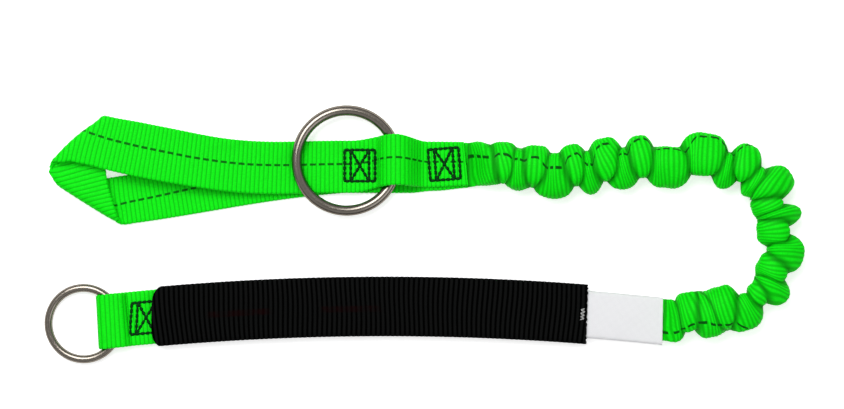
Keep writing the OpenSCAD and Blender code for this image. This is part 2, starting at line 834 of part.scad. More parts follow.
// Rows of running stitches that hold the pack folded until they tear
module tear_stitches() {
  z0 = ply_z[0];
  z1 = ply_z[2] + pack_t;
  count = floor((pack_l - 2 * tear_in) / tear_pitch / 2) * 2;
  go = (pack_u0 + pack_u1 - count * tear_pitch) / 2;
  color(THREAD)
    for (y = [-pack_w / 4, pack_w / 4])
      for (i = [0 : count])
        on_arc(go + i * tear_pitch)
          translate([0, y, 0]) {
            translate([0, 0, z0 - thread_h / 2])
              cylinder(d = thread_w * 0.6, h = z1 - z0 + thread_h);
            translate([-thread_w / 2, -thread_w / 2, i % 2 == 0 ? z1 : z0 - thread_h])
              cube([i == count ? thread_w : tear_pitch + thread_w, thread_w, thread_h]);
          }
}

module wear_sleeve() {
  color(BLACK)
    arc_sweep(sleeve_u0, sleeve_u1)
      translate([0, leg_z])
        difference() {
          round_bar(sleeve_w, sleeve_h, sleeve_round);
          round_bar(
            sleeve_w - 2 * sleeve_wall,
            sleeve_h - 2 * sleeve_wall,
            sleeve_round - sleeve_wall
          );
        }
}

module sleeve_tack() {
  color(WHITE)
    on_arc(sleeve_u1 - tack_in)
      tack(tack_l, thread_h + sleeve_wall / 4, sleeve_h);
}

module end_web() {
  color(WEB)
    arc_bar(pocket_u1, end_u1, end_w, ply_z[0], ply_z[0] + pack_t);
}

module end_tail() {
  color(WEB)
    arc_bar(pocket_u1, end_u1 - end_past / 2, end_w, end_top - pack_t / 2, end_top + pack_t / 2);
}

module box_stitch_c() {
  color(THREAD)
    on_arc((box_c_u0 + box_c_u1) / 2)
      sewn_box(ply_z[0], end_top + pack_t / 2);
}

module end_loop() {
  rows = [
    for (p = pocket_line)
      let (x = p[0] - pocket_u1)
      [[x, end_w / 2, p[1]], [x, -end_w / 2, p[1]], [-sin(p[2]), 0, cos(p[2])]]
  ];
  color(WEB)
    on_arc(pocket_u1)
      ribbon(rows, pack_t);
}

module end_ring() {
  color(STEEL)
    on_arc(pocket_u1)
      translate([end_crown_u - pocket_u1, 0, pocket_z])
        rotate([0, end_tilt, 0])
          translate([-end_r, 0, 0])
            torus(end_r, end_wire);
}

choke_loop();
keeper_web();
base_web();
box_stitch_a();
box_stitch_b();
saddle_ring();
stretch_cover();
stretch_core();
core_tack_a();
bend_cover();
bend_core();
core_end();
core_tack_b();
label();
pack_web();
tear_stitches();
wear_sleeve();
sleeve_tack();
end_web();
end_tail();
box_stitch_c();
end_loop();
end_ring();
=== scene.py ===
"""Looks of a shock absorbing lanyard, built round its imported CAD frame.

The lanyard lies in a U on the plane z = 0. Sizes are in millimetres, in the frame of
the CAD model, and become metres where a mesh is made.
"""

from __future__ import annotations

import json
import logging
import math
from dataclasses import dataclass, field
from enum import Enum
from typing import Callable

import bmesh
import bpy
import numpy as np
from mathutils import Matrix, Vector

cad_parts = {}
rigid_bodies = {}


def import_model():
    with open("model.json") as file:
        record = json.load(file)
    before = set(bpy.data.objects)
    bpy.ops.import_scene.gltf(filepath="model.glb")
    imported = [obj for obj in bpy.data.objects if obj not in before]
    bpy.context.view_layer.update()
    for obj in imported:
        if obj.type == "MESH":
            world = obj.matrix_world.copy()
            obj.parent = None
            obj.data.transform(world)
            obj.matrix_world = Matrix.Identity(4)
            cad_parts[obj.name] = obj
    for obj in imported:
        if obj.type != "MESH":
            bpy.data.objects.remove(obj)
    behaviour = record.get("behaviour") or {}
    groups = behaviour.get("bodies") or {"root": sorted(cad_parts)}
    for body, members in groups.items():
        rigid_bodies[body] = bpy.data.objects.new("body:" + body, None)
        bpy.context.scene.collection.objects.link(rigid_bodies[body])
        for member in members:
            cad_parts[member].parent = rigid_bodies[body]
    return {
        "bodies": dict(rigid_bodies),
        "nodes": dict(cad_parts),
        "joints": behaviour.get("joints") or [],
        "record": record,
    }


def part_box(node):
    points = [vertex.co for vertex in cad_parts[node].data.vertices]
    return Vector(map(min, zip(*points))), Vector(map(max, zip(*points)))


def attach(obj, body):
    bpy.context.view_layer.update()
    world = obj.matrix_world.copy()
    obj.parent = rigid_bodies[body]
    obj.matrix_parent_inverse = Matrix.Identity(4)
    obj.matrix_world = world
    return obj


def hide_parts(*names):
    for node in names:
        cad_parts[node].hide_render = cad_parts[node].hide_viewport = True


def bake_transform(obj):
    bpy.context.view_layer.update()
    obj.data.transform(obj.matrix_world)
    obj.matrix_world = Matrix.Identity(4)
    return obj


LOG = logging.getLogger("lanyard")
MM = 0.001
UV_NAME = "weave"
# Attribute with each point's height out of its crease, which the web finish turns into painted crease
# shade.
CREASE_SHADE_NAME = "fold"
# Weave coordinates of a cut end, in metres, away from the tracer.
CAP_WEAVE = (0.0, 0.02)
SEAM_DIST = 1e-6
SAME_POINT = 1e-6
# Lowest height of a skin, so that it doesn't flicker in the plane it lies on.
FLOOR = 0.02
# Offset of the tracer from the middle of the web, and one that puts it off the web.
TRACER_OFFSET = -1.3
NO_TRACER = 60.0
# Sides and rings of the ball that each stitch is drawn out of.
STITCH_SIDES = 10
STITCH_RINGS = 6

Array = np.ndarray
Place = Callable[[Array, Array], "tuple[Array, ...]"]
Carrier = Callable[[Array, Array, Array], Array]
Offset = Callable[[Array], Array]
SideLine = tuple[Array, Array, Array, Array]
Socket = bpy.types.NodeSocket


class Body(Enum):
    """Moving bodies of the frame."""

    SEWN_LEG = "sewn_leg"
    BEND = "bend"
    SLEEVED_LEG = "sleeved_leg"
    LARGE_RING = "large_ring"
    SMALL_RING = "small_ring"


class Slot(Enum):
    """Material slots of the record."""

    WEB = "web"
    THREAD = "thread"
    PALE_THREAD = "pale_thread"
    RING_STEEL = "ring_steel"
    ELASTIC = "elastic"
    LABEL = "label"
    SLEEVE = "sleeve"


class Ends(Enum):
    """How the two ends of a skin are closed."""

    CAPPED = "capped"
    LOOPED = "looped"


class Weave(Enum):
    """Where a woven finish takes its coordinates from."""

    OWN_UV = "UV"
    PLACE = "Object"


def mix(a: float | Array, b: float | Array, f: float | Array) -> Array:
    """Goes from a to b by the share f."""
    return a + (b - a) * f


def smooth(x: float | Array) -> Array:
    """Eases from 0 to 1, flat at both ends."""
    c = np.clip(x, 0.0, 1.0)
    return c * c * (3.0 - 2.0 * c)


def ease_through(x: Array, stops: list[float], values: list[float]) -> Array:
    """Eases from value to value, level at each stop."""
    at, to = np.asarray(stops, dtype=float), np.asarray(values, dtype=float)
    i = np.clip(np.searchsorted(at, x, side="right") - 1, 0, len(at) - 2)
    return mix(to[i], to[i + 1], smooth((x - at[i]) / (at[i + 1] - at[i])))


def heading(angle: float) -> Array:
    """Unit vector in plan at an angle in degrees."""
    return np.array([math.cos(math.radians(angle)), math.sin(math.radians(angle))])


def left_of(d: Array) -> Array:
    """Turns directions in plan by a quarter to the left."""
    return np.stack([-d[..., 1], d[..., 0]], axis=-1)


def run_of(points: Array) -> Array:
    """Distances along a line of points, from its first one."""
    return np.concatenate([[0.0], np.cumsum(np.linalg.norm(np.diff(points, axis=0), axis=1))])


def sample(s: Array, run: Array, points: Array) -> Array:
    """Points in plan at distances along a line."""
    return np.stack([np.interp(s, run, points[:, i]) for i in (0, 1)], axis=1)


def side_line(along: Array, high: Array, slope: Array) -> SideLine:
    """Makes one line of the stretches of a ply, as seen from the side.

    Args:
        along: Positions along the leg.
        high: Heights.
        slope: Slopes, in radians.

    Returns:
        Distances along the line, and the three rows without repeated points.
    """
    run = run_of(np.column_stack([along, high]))
    keep = np.concatenate([[True], np.diff(run) > SAME_POINT])
    return run[keep], along[keep], high[keep], slope[keep]


def steady(offset: float) -> Offset:
    """Tracer that keeps one offset all along a strip."""
    return lambda u: np.full_like(u, offset)


def node_box(node: str) -> tuple[Array, Array]:
    """Corners of a CAD node at rest, in millimetres."""
    low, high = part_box(node)
    return np.array(low) / MM, np.array(high) / MM


def to_mesh(bm: bmesh.types.BMesh, name: str) -> bpy.types.Mesh:
    """Turns a bmesh into a smooth mesh, and frees it."""
    for face in bm.faces:
        face.smooth = True
    mesh = bpy.data.meshes.new(name)
    bm.to_mesh(mesh)
    bm.free()
    return mesh


def add_stitch(bm: bmesh.types.BMesh, place: Matrix, long: float, wide: float, high: float) -> None:
    """Adds a stitch, a drawn-out ball.

    Args:
        bm: The bmesh that it goes into.
        place: Place of its middle, with X along it, in millimetres.
        long: Its length.
        wide: Its width.
        high: Its height.
    """
    shape = Matrix.Diagonal((long, wide, high, 1.0))
    matrix = Matrix.Scale(MM, 4) @ place @ shape
    bmesh.ops.create_uvsphere(
        bm, u_segments=STITCH_SIDES, v_segments=STITCH_RINGS, radius=0.5, matrix=matrix
    )


def seal(mesh: bpy.types.Mesh, ends: Ends) -> None:
    """Welds the seam of a grid that was wrapped round, and closes its ends.

    Args:
        mesh: The wrapped grid.
        ends: Whether the ends get caps or meet each other.
    """
    bm = bmesh.new()
    bm.from_mesh(mesh)
    rim = [v for v in bm.verts if v.is_boundary]
    bmesh.ops.remove_doubles(bm, verts=rim, dist=SEAM_DIST)
    open_edges = [e for e in bm.edges if e.is_boundary]
    if ends is Ends.CAPPED and open_edges:
        weave = bm.loops.layers.uv.active
        for cap in bmesh.ops.holes_fill(bm, edges=open_edges, sides=0)["faces"]:
            cap.smooth = False
            for corner in cap.loops:
                corner[weave].uv = CAP_WEAVE
    bmesh.ops.recalc_face_normals(bm, faces=bm.faces)
    bm.to_mesh(mesh)
    bm.free()


def skin(name: str, rows: int, cols: int, place: Place, ends: Ends = Ends.CAPPED) -> bpy.types.Mesh:
    """Wraps a grid into a closed skin.

    Args:
        name: Name of the mesh.
        rows: Faces along the piece.
        cols: Faces round the piece.
        place: Gives points and weave coordinates, in millimetres, for shares of the way
            along and round the piece, and may add how far each point is out of a crease.
        ends: How the ends are closed.

    Returns:
        The mesh, in metres.
    """
    bm = bmesh.new()
    bmesh.ops.create_grid(bm, x_segments=cols, y_segments=rows, size=1.0)
    mesh = to_mesh(bm, name)
    flat = np.empty(3 * len(mesh.vertices), dtype=np.float32)
    mesh.vertices.foreach_get("co", flat)
    grid = flat.reshape(-1, 3).astype(float)
    around = np.rint((grid[:, 0] + 1.0) / 2.0 * cols) / cols
    along = np.rint((grid[:, 1] + 1.0) / 2.0 * rows) / rows
    points, weave, *rest = place(along, around)
    points[:, 2] = np.maximum(points[:, 2], FLOOR)
    fold = rest[0] if rest else np.ones(len(points))
    mesh.vertices.foreach_set("co", (points * MM).astype(np.float32).ravel())
    corners = np.empty(len(mesh.loops), dtype=np.int32)
    mesh.loops.foreach_get("vertex_index", corners)
    layer = mesh.uv_layers.new(name=UV_NAME)
    layer.data.foreach_set("uv", (weave[corners] * MM).astype(np.float32).ravel())
    # The web finish paints shade into the creases by this attribute.
    mesh.attributes.new(CREASE_SHADE_NAME, "FLOAT", "POINT").data.foreach_set("value", fold.astype(np.float32))
    seal(mesh, ends)
    return mesh


def add_piece(
    mesh: bpy.types.Mesh, finish: bpy.types.Material, node: str
) -> bpy.types.Object:
    """Puts a mesh in the scene as a piece of the lanyard, under the mesh's name.

    Args:
        mesh: Its mesh, in place.
        finish: Its material.
        node: CAD node that it stands for.

    Returns:
        The new object, which doesn't ride on a body yet.
    """
    obj = bpy.data.objects.new(mesh.name, mesh)
    bpy.context.scene.collection.objects.link(obj)
    mesh.materials.append(finish)
    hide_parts(node)
    LOG.info("%s: %d faces, for %s", mesh.name, len(mesh.polygons), node)
    return obj


def dress_node(frame: dict, node: str, finish: bpy.types.Material) -> None:
    """Gives a CAD node that stays in view its finish."""
    mesh = frame["nodes"][node].data
    mesh.materials.clear()
    mesh.materials.append(finish)
    LOG.info("%s: CAD node with %s", node, finish.name)


@dataclass(frozen=True)
class Record:
    """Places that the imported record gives, in millimetres."""

    data: dict

    @staticmethod
    def place(rows: list[dict], name: str) -> Array:
        """Place of the row with a name."""
        return np.array(next(row for row in rows if row["name"] == name)["pos_m"]) / MM

    def mount(self, name: str) -> Array:
        """Where a mount is."""
        return self.place(self.data["mounts"], name)

    def joint(self, name: str) -> Array:
        """Where a joint's axis passes."""
        return self.place(self.data["behaviour"]["joints"], name)


class Graph:
    """Short way to wire the nodes of a material, or of the world."""

    def __init__(self, owner: bpy.types.Material | bpy.types.World) -> None:
        """Starts from the owner's first shader."""
        owner.use_nodes = True
        self.owner = owner
        self.tree = owner.node_tree
        world = isinstance(owner, bpy.types.World)
        self.shader = self.tree.nodes["Background" if world else "Principled BSDF"]

    @classmethod
    def material(cls, name: str) -> Graph:
        """Starts a new material."""
        return cls(bpy.data.materials.new(name))

    def node(self, kind: str, **settings: object) -> bpy.types.Node:
        """Adds a node and sets its properties."""
        made = self.tree.nodes.new(kind)
        for key, value in settings.items():
            setattr(made, key, value)
        return made

    def feed(self, socket: Socket, value: Socket | float | tuple) -> None:
        """Links a socket, or sets its value."""
        if isinstance(value, Socket):
            self.tree.links.new(value, socket)
        else:
            socket.default_value = value

    def math(self, operation: str, a: Socket | float, b: Socket | float = 0.0) -> Socket:
        """Adds a math node."""
        made = self.node("ShaderNodeMath", operation=operation)
        self.feed(made.inputs[0], a)
        self.feed(made.inputs[1], b)
        return made.outputs[0]

    def blend(self, share: Socket | float, a: Socket | tuple, b: Socket | tuple) -> Socket:
        """Mixes two colours by a share."""
        made = self.node("ShaderNodeMix", data_type="RGBA")
        self.feed(made.inputs[0], share)
        self.feed(made.inputs[6], a)
        self.feed(made.inputs[7], b)
        return made.outputs[2]

    def ramp(
        self, value: Socket, low: float, high: float, out_low: float = 0.0, out_high: float = 1.0
    ) -> Socket:
        """Eases a value from one range to another, within its ends."""
        made = self.node("ShaderNodeMapRange", interpolation_type="SMOOTHSTEP")
        for index, item in enumerate((value, low, high, out_low, out_high)):
            self.feed(made.inputs[index], item)
        return made.outputs[0]

    def ribs(self, u: Socket, pitch: float) -> Socket:
        """Height of ribs across a web, from 0 in a groove to 1 on a crest."""
        return self.math("ABSOLUTE", self.math("SINE", self.math("MULTIPLY", u, math.pi / (pitch * MM))))

    def where(self, weave: Weave) -> Socket:
        """Coordinates of a piece, in metres."""
        if weave is Weave.OWN_UV:
            return self.node("ShaderNodeUVMap", uv_map=UV_NAME).outputs["UV"]
        return self.node("ShaderNodeTexCoord").outputs["Object"]

    def axes(self, where: Socket) -> tuple[Socket, Socket, Socket]:
        """Splits coordinates."""
        made = self.node("ShaderNodeSeparateXYZ")
        self.feed(made.inputs[0], where)
        return made.outputs[0], made.outputs[1], made.outputs[2]

    def noise(
        self, where: Socket, scale: float, detail: float = 2.0, stretch: tuple = (1.0, 1.0, 1.0)
    ) -> Socket:
        """Adds noise, finer with a larger scale, stretched along axes."""
        mapping = self.node("ShaderNodeMapping")
        self.feed(mapping.inputs["Vector"], where)
        self.feed(mapping.inputs["Scale"], stretch)
        made = self.node("ShaderNodeTexNoise")
        self.feed(made.inputs["Vector"], mapping.outputs[0])
        self.feed(made.inputs["Scale"], scale)
        self.feed(made.inputs["Detail"], detail)
        return made.outputs[0]

    def bump(self, height: Socket, strength: float, distance: float) -> None:
        """Roughens the surface by a height."""
        made = self.node("ShaderNodeBump")
        self.feed(made.inputs["Strength"], strength)
        self.feed(made.inputs["Distance"], distance)
        self.feed(made.inputs["Height"], height)
        self.feed(self.shader.inputs["Normal"], made.outputs[0])

    def set(self, **sockets: Socket | float | tuple) -> None:
        """Sets or links sockets of the shader, with _ for a space."""
        for key, value in sockets.items():
            self.feed(self.shader.inputs[key.replace("_", " ")], value)


@dataclass(frozen=True)
class WebFinish:
    """Bright green tubular web: ribs across, fine yarns along, a dashed tracer, with painted shade in the
    rib grooves and in the creases of the ruched cover.
    """

    name: str = "green_web"
    weave: Weave = Weave.OWN_UV
    rib_pitch: float = 2.1
    crest: tuple = (0.003, 0.80, 0.006, 1.0)
    # Groove colour: a darker green that paints the shade between the ribs; the crest is the web's own
    # green.
    groove: tuple = (0.001, 0.42, 0.002, 1.0)
    # Colour of the painted shade in the creases of the ruched cover.
    crease: tuple = (0.0, 0.17, 0.001, 1.0)
    tracer: tuple = (0.0, 0.13, 0.002, 1.0)
    dash_pitch: float = 4.3
    dash_share: float = 0.68
    dash_half: float = 0.55
    yarn_pitch: float = 0.45
    crest_from: float = 0.0
    crest_to: float = 0.65
    shade: float = 0.62
    cloud_scale: float = 55.0
    cloud_ramp: tuple = (0.56, 0.86, 0.0, 0.5)
    yarn_ramp: tuple = (0.35, 0.85, 0.0, 0.4)
    crease_shade_ramp: tuple = (0.0, 0.7, 0.75, 0.0)
    rough_ramp: tuple = (0.2, 0.9, 0.5, 0.7)
    dash_soft: float = 0.25
    sheen: tuple = (0.1, 1.0, 0.1, 1.0)

    def material(self) -> bpy.types.Material:
        """Builds the finish."""
        g = Graph.material(self.name)
        where = g.where(self.weave)
        u, v, _ = g.axes(where)
        rib = g.ribs(u, self.rib_pitch)
        cloud = g.noise(where, self.cloud_scale, 3.0)
        yarn = g.noise(where, 1.0 / (self.yarn_pitch * MM), 2.0, (0.25, 1.0, 1.0))
        # Painted shade: the ribs' grooves are coloured darker than their crests.
        colour = g.blend(g.ramp(rib, self.crest_from, self.crest_to), self.groove, self.crest)
        shade = tuple(self.shade * c for c in self.crest[:3]) + (1.0,)
        colour = g.blend(g.ramp(cloud, *self.cloud_ramp), colour, shade)
        colour = g.blend(g.ramp(yarn, *self.yarn_ramp), colour, shade)
        if self.weave is Weave.OWN_UV:
            beat = g.math("FRACT", g.math("DIVIDE", u, self.dash_pitch * MM))
            dash = g.math("LESS_THAN", beat, self.dash_share)
            half = self.dash_half * MM
            near, far = (1.0 - self.dash_soft) * half, (1.0 + self.dash_soft) * half
            line = g.ramp(g.math("ABSOLUTE", v), near, far, 1.0, 0.0)
            # Painted shade: darker towards the creases, by the height out of the crease.
            fold = g.node("ShaderNodeAttribute", attribute_name=CREASE_SHADE_NAME).outputs["Fac"]
            colour = g.blend(g.ramp(fold, *self.crease_shade_ramp), colour, self.crease)
            colour = g.blend(g.math("MULTIPLY", dash, line), colour, self.tracer)
        rough = g.ramp(yarn, *self.rough_ramp)
        g.set(Base_Color=colour, Roughness=rough, Sheen_Weight=0.1, Sheen_Roughness=0.4)
        g.set(Sheen_Tint=self.sheen, Specular_IOR_Level=0.07)
        g.bump(yarn, 0.35, 0.12 * MM)
        return g.owner


@dataclass(frozen=True)
class ThreadFinish:
    """Bonded sewing thread, with a fine twist."""

    name: str
    colour: tuple
    dark: tuple
    strand: float = 0.35
    twist_ramp: tuple = (0.35, 0.7)
    rough_ramp: tuple = (0.2, 0.8, 0.5, 0.7)

    def material(self) -> bpy.types.Material:
        """Builds the finish."""
        g = Graph.material(self.name)
        where = g.where(Weave.PLACE)
        twist = g.noise(where, 1.0 / (self.strand * MM), 1.0, (1.0, 1.0, 0.4))
        g.set(Base_Color=g.blend(g.ramp(twist, *self.twist_ramp), self.dark, self.colour))
        g.set(Roughness=g.ramp(twist, *self.rough_ramp), Specular_IOR_Level=0.08)
        g.bump(twist, 0.5, 0.1 * MM)
        return g.owner


@dataclass(frozen=True)
class WireFinish:
    """Dark nickel plating on drawn wire, with faint scuffs and a dark edge tint that paints shade into the
    reflections at its edges.
    """

    name: str = "nickel_wire"
    plating: tuple = (0.23, 0.205, 0.175, 1.0)
    worn: tuple = (0.36, 0.33, 0.295, 1.0)
    # Dark edge tint: painted shade in the reflections at the wire's edges, in place of dark surroundings.
    rim: tuple = (0.3, 0.26, 0.21, 1.0)
    cloud_scale: float = 90.0
    scuff_scale: float = 900.0
    worn_ramp: tuple = (0.55, 0.8, 0.0, 0.7)
    rough_ramp: tuple = (0.3, 0.8, 0.21, 0.26)

    def material(self) -> bpy.types.Material:
        """Builds the finish."""
        g = Graph.material(self.name)
        where = g.where(Weave.PLACE)
        cloud = g.noise(where, self.cloud_scale, 4.0)
        scuff = g.noise(where, self.scuff_scale, 2.0, (1.0, 1.0, 0.2))
        g.set(Base_Color=g.blend(g.ramp(cloud, *self.worn_ramp), self.plating, self.worn))
        # The specular tint paints dark reflections at the wire's edges.
        g.set(Metallic=1.0, Roughness=g.ramp(scuff, *self.rough_ramp), Specular_Tint=self.rim)
        g.bump(scuff, 0.03, 0.03 * MM)
        return g.owner


@dataclass(frozen=True)
class LatexFinish:
    """Natural rubber strip that gathers the cover."""

    name: str = "latex_strip"
    pale: tuple = (0.62, 0.54, 0.38, 1.0)
    deep: tuple = (0.46, 0.38, 0.24, 1.0)
    cloud_scale: float = 160.0
    rough: float = 0.6

    def material(self) -> bpy.types.Material:
        """Builds the finish."""
        g = Graph.material(self.name)
        cloud = g.noise(g.where(Weave.PLACE), self.cloud_scale, 3.0)
        g.set(Base_Color=g.blend(cloud, self.deep, self.pale), Roughness=self.rough)
        g.bump(cloud, 0.2, 0.2 * MM)
        return g.owner


@dataclass(frozen=True)
class LabelFinish:
    """Plain white woven tape."""

    name: str = "white_tape"
    face: tuple = (0.80, 0.80, 0.815, 1.0)
    gap: tuple = (0.62, 0.62, 0.64, 1.0)
    pick: float = 0.55
    pick_ramp: tuple = (0.0, 0.5)
    soil_scale: float = 60.0
    soil_ramp: tuple = (0.5, 0.9, 0.0, 0.4)
    rough: float = 0.7
    sheen: float = 0.15

    def material(self) -> bpy.types.Material:
        """Builds the finish."""
        g = Graph.material(self.name)
        where = g.where(Weave.OWN_UV)
        u, v, _ = g.axes(where)
        turn = math.pi / (self.pick * MM)
        over = g.math("SINE", g.math("MULTIPLY", u, turn))
        under = g.math("SINE", g.math("MULTIPLY", v, turn))
        check = g.math("ABSOLUTE", g.math("MULTIPLY", over, under))
        soil = g.noise(where, self.soil_scale, 3.0)
        colour = g.blend(g.ramp(check, *self.pick_ramp), self.gap, self.face)
        g.set(Base_Color=g.blend(g.ramp(soil, *self.soil_ramp), colour, self.gap))
        g.set(Roughness=self.rough, Sheen_Weight=self.sheen)
        g.bump(check, 0.25, 0.08 * MM)
        return g.owner


@dataclass(frozen=True)
class SleeveFinish:
    """Black tubular web with broad ribs, painted highlights on their crests and painted shade in their
    grooves, and two faint dark red streaks.
    """

    name: str = "black_web"
    rib_pitch: float = 2.35
    # Crest and groove colours paint the highlight on the rib crests and the shade between them.
    crest: tuple = (0.005, 0.0054, 0.0053, 1.0)
    groove: tuple = (0.0001, 0.0001, 0.0001, 1.0)
    wear_and_highlight_gain: float = 1.6
    rib_ramp: tuple = (0.3, 0.95)
    fibre_scale: float = 1600.0
    fibre_ramp: tuple = (0.55, 0.9, 0.0, 0.6)
    rough_ramp: tuple = (0.2, 0.8, 0.6, 0.85)
    thin_scale: float = 160.0
    thin_ramp: tuple = (0.3, 0.7, 0.1, 0.6)
    streak: tuple = (0.008, 0.001, 0.0012, 1.0)
    streak_at: float = -1.0
    streak_core: float = 0.9
    streak_half: float = 2.0
    streak_fade: float = 4.0
    streaks: tuple = ((-87.0, -54.0), (-33.0, -1.0))

    def material(self) -> bpy.types.Material:
        """Builds the finish."""
        g = Graph.material(self.name)
        where = g.where(Weave.OWN_UV)
        u, v, _ = g.axes(where)
        rib = g.ribs(u, self.rib_pitch)
        fibre = g.noise(where, self.fibre_scale, 2.0, (0.35, 1.0, 1.0))
        colour = g.blend(g.ramp(rib, *self.rib_ramp), self.groove, self.crest)
        wear_and_highlight_grey = tuple(self.wear_and_highlight_gain * c for c in self.crest[:3]) + (1.0,)
        # Lighter grey fibres on the rib crests: partly wear, partly a painted highlight.
        worn = g.math("MULTIPLY", rib, g.ramp(fibre, *self.fibre_ramp))
        colour = g.blend(worn, colour, wear_and_highlight_grey)
        off = g.math("ABSOLUTE", g.math("SUBTRACT", v, self.streak_at * MM))
        line = g.ramp(off, self.streak_core * MM, self.streak_half * MM, 1.0, 0.0)
        thin = g.ramp(g.noise(where, self.thin_scale, 2.0), *self.thin_ramp)
        for start, stop in self.streaks:
            into = g.ramp(u, start * MM, (start + self.streak_fade) * MM)
            away = g.ramp(u, (stop - self.streak_fade) * MM, stop * MM, 1.0, 0.0)
            inside = g.math("MULTIPLY", into, away)
            share = g.math("MULTIPLY", g.math("MULTIPLY", inside, line), thin)
            colour = g.blend(share, colour, self.streak)
        g.set(Base_Color=colour, Roughness=g.ramp(fibre, *self.rough_ramp))
        g.set(Specular_IOR_Level=0.006)
        g.bump(fibre, 0.4, 0.12 * MM)
        return g.owner


@dataclass(frozen=True)
class Finishes:
    """Every material of the lanyard, made once."""

    web: bpy.types.Material
    ruched: bpy.types.Material
    pack: bpy.types.Material
    thread: bpy.types.Material
    pale_thread: bpy.types.Material
    wire: bpy.types.Material
    latex: bpy.types.Material
    label: bpy.types.Material
    sleeve: bpy.types.Material

    @classmethod
    def make(cls) -> Finishes:
        """Builds the materials."""
        ruched = WebFinish(
            name="ruched_web",
            rib_pitch=1.8,
            groove=(0.001, 0.5, 0.002, 1.0),
            # The tracer is a dark yarn, and here it is also painted darker than on the flat web, as shade
            # in the ruching.
            tracer=(0.0, 0.075, 0.002, 1.0),
            dash_half=0.5,
            crest_from=0.3,
            crest_to=1.0,
        )
        dark = ThreadFinish("dark_thread", (0.0, 0.06, 0.006, 1.0), (0.0, 0.016, 0.002, 1.0))
        pale = ThreadFinish("pale_thread", (0.5, 0.5, 0.49, 1.0), (0.22, 0.22, 0.22, 1.0))
        return cls(
            web=WebFinish().material(),
            ruched=ruched.material(),
            pack=WebFinish(name="pack_web_green", weave=Weave.PLACE).material(),
            thread=dark.material(),
            pale_thread=pale.material(),
            wire=WireFinish().material(),
            latex=LatexFinish().material(),
            label=LabelFinish().material(),
            sleeve=SleeveFinish().material(),
        )


@dataclass(frozen=True)
class Studio:
    """Camera straight above, soft light from the upper left, pale floor."""

    view_x: float = -1.7
    view_y: float = 14.33
    view_width: float = 409.9
    height: float = 1500.0
    sensor: float = 36.0
    clip_end: float = 20.0
    floor_half: float = 4000.0
    floor_glow: float = 0.55
    sky: tuple = (1.0, 1.0, 1.0, 1.0)
    sky_rise: tuple = (0.1, 0.7, 0.1, 0.62)
    sky_cap: tuple = (0.8, 0.98, 1.0, 0.6)
    sky_rim: tuple = (0.0, 0.12, 1.0, 0.0)

    def camera(self) -> None:
        """Sets the camera at the photograph's angle."""
        data = bpy.data.cameras.new("camera")
        data.sensor_width = self.sensor
        data.lens = self.sensor * self.height / self.view_width
        data.clip_end = self.clip_end
        obj = bpy.data.objects.new("camera", data)
        obj.location = (self.view_x * MM, self.view_y * MM, self.height * MM)
        bpy.context.scene.collection.objects.link(obj)
        bpy.context.scene.camera = obj

    def lamp(self, name: str, place: tuple, aim: tuple, size: float, watts: float) -> None:
        """Adds a square soft lamp.

        Args:
            name: Name of the lamp.
            place: Where it is, in metres.
            aim: Point that it faces.
            size: Its side, in metres.
            watts: Its power.
        """
        data = bpy.data.lights.new(name, "AREA")
        data.size = size
        data.energy = watts
        obj = bpy.data.objects.new(name, data)
        obj.location = place
        obj.rotation_euler = (Vector(aim) - Vector(place)).to_track_quat("-Z", "Y").to_euler()
        bpy.context.scene.collection.objects.link(obj)

    def lights(self) -> None:
        """Adds the lamps and the world."""
        self.lamp("key", (-0.45, 0.75, 1.5), (0.0, 0.0, 0.0), 1.0, 23.0)
        self.lamp("fill", (0.9, -0.7, 1.3), (0.0, 0.0, 0.0), 0.9, 3.0)
        world = bpy.data.worlds.new("studio")
        bpy.context.scene.world = world
        g = Graph(world)
        _, _, up = g.axes(g.node("ShaderNodeTexCoord").outputs["Generated"])
        rise, cap, rim = (g.ramp(up, *band) for band in (self.sky_rise, self.sky_cap, self.sky_rim))
        g.set(Color=self.sky, Strength=g.math("MAXIMUM", g.math("MULTIPLY", rise, cap), rim))

    def floor(self) -> None:
        """Adds the pale floor, which is white to the camera and keeps the shadow."""
        bm = bmesh.new()
        bmesh.ops.create_grid(bm, x_segments=1, y_segments=1, size=self.floor_half * MM)
        mesh = to_mesh(bm, "floor")
        g = Graph.material("pale_floor")
        path = g.node("ShaderNodeLightPath")
        seen = g.math("MAXIMUM", path.outputs["Is Camera Ray"], path.outputs["Is Transmission Ray"])
        seen = g.math("MAXIMUM", seen, path.outputs["Is Glossy Ray"])
        g.set(Base_Color=(0.86, 0.86, 0.86, 1.0), Roughness=0.9, Specular_IOR_Level=0.0)
        g.set(Emission_Color=self.sky, Emission_Strength=g.math("MULTIPLY", seen, self.floor_glow))
        mesh.materials.append(g.owner)
        obj = bpy.data.objects.new("floor", mesh)
        bpy.context.scene.collection.objects.link(obj)

    def build(self) -> None:
        """Sets up the whole studio."""
        bpy.context.scene.view_settings.view_transform = "Standard"
        self.camera()
        self.lights()
        self.floor()


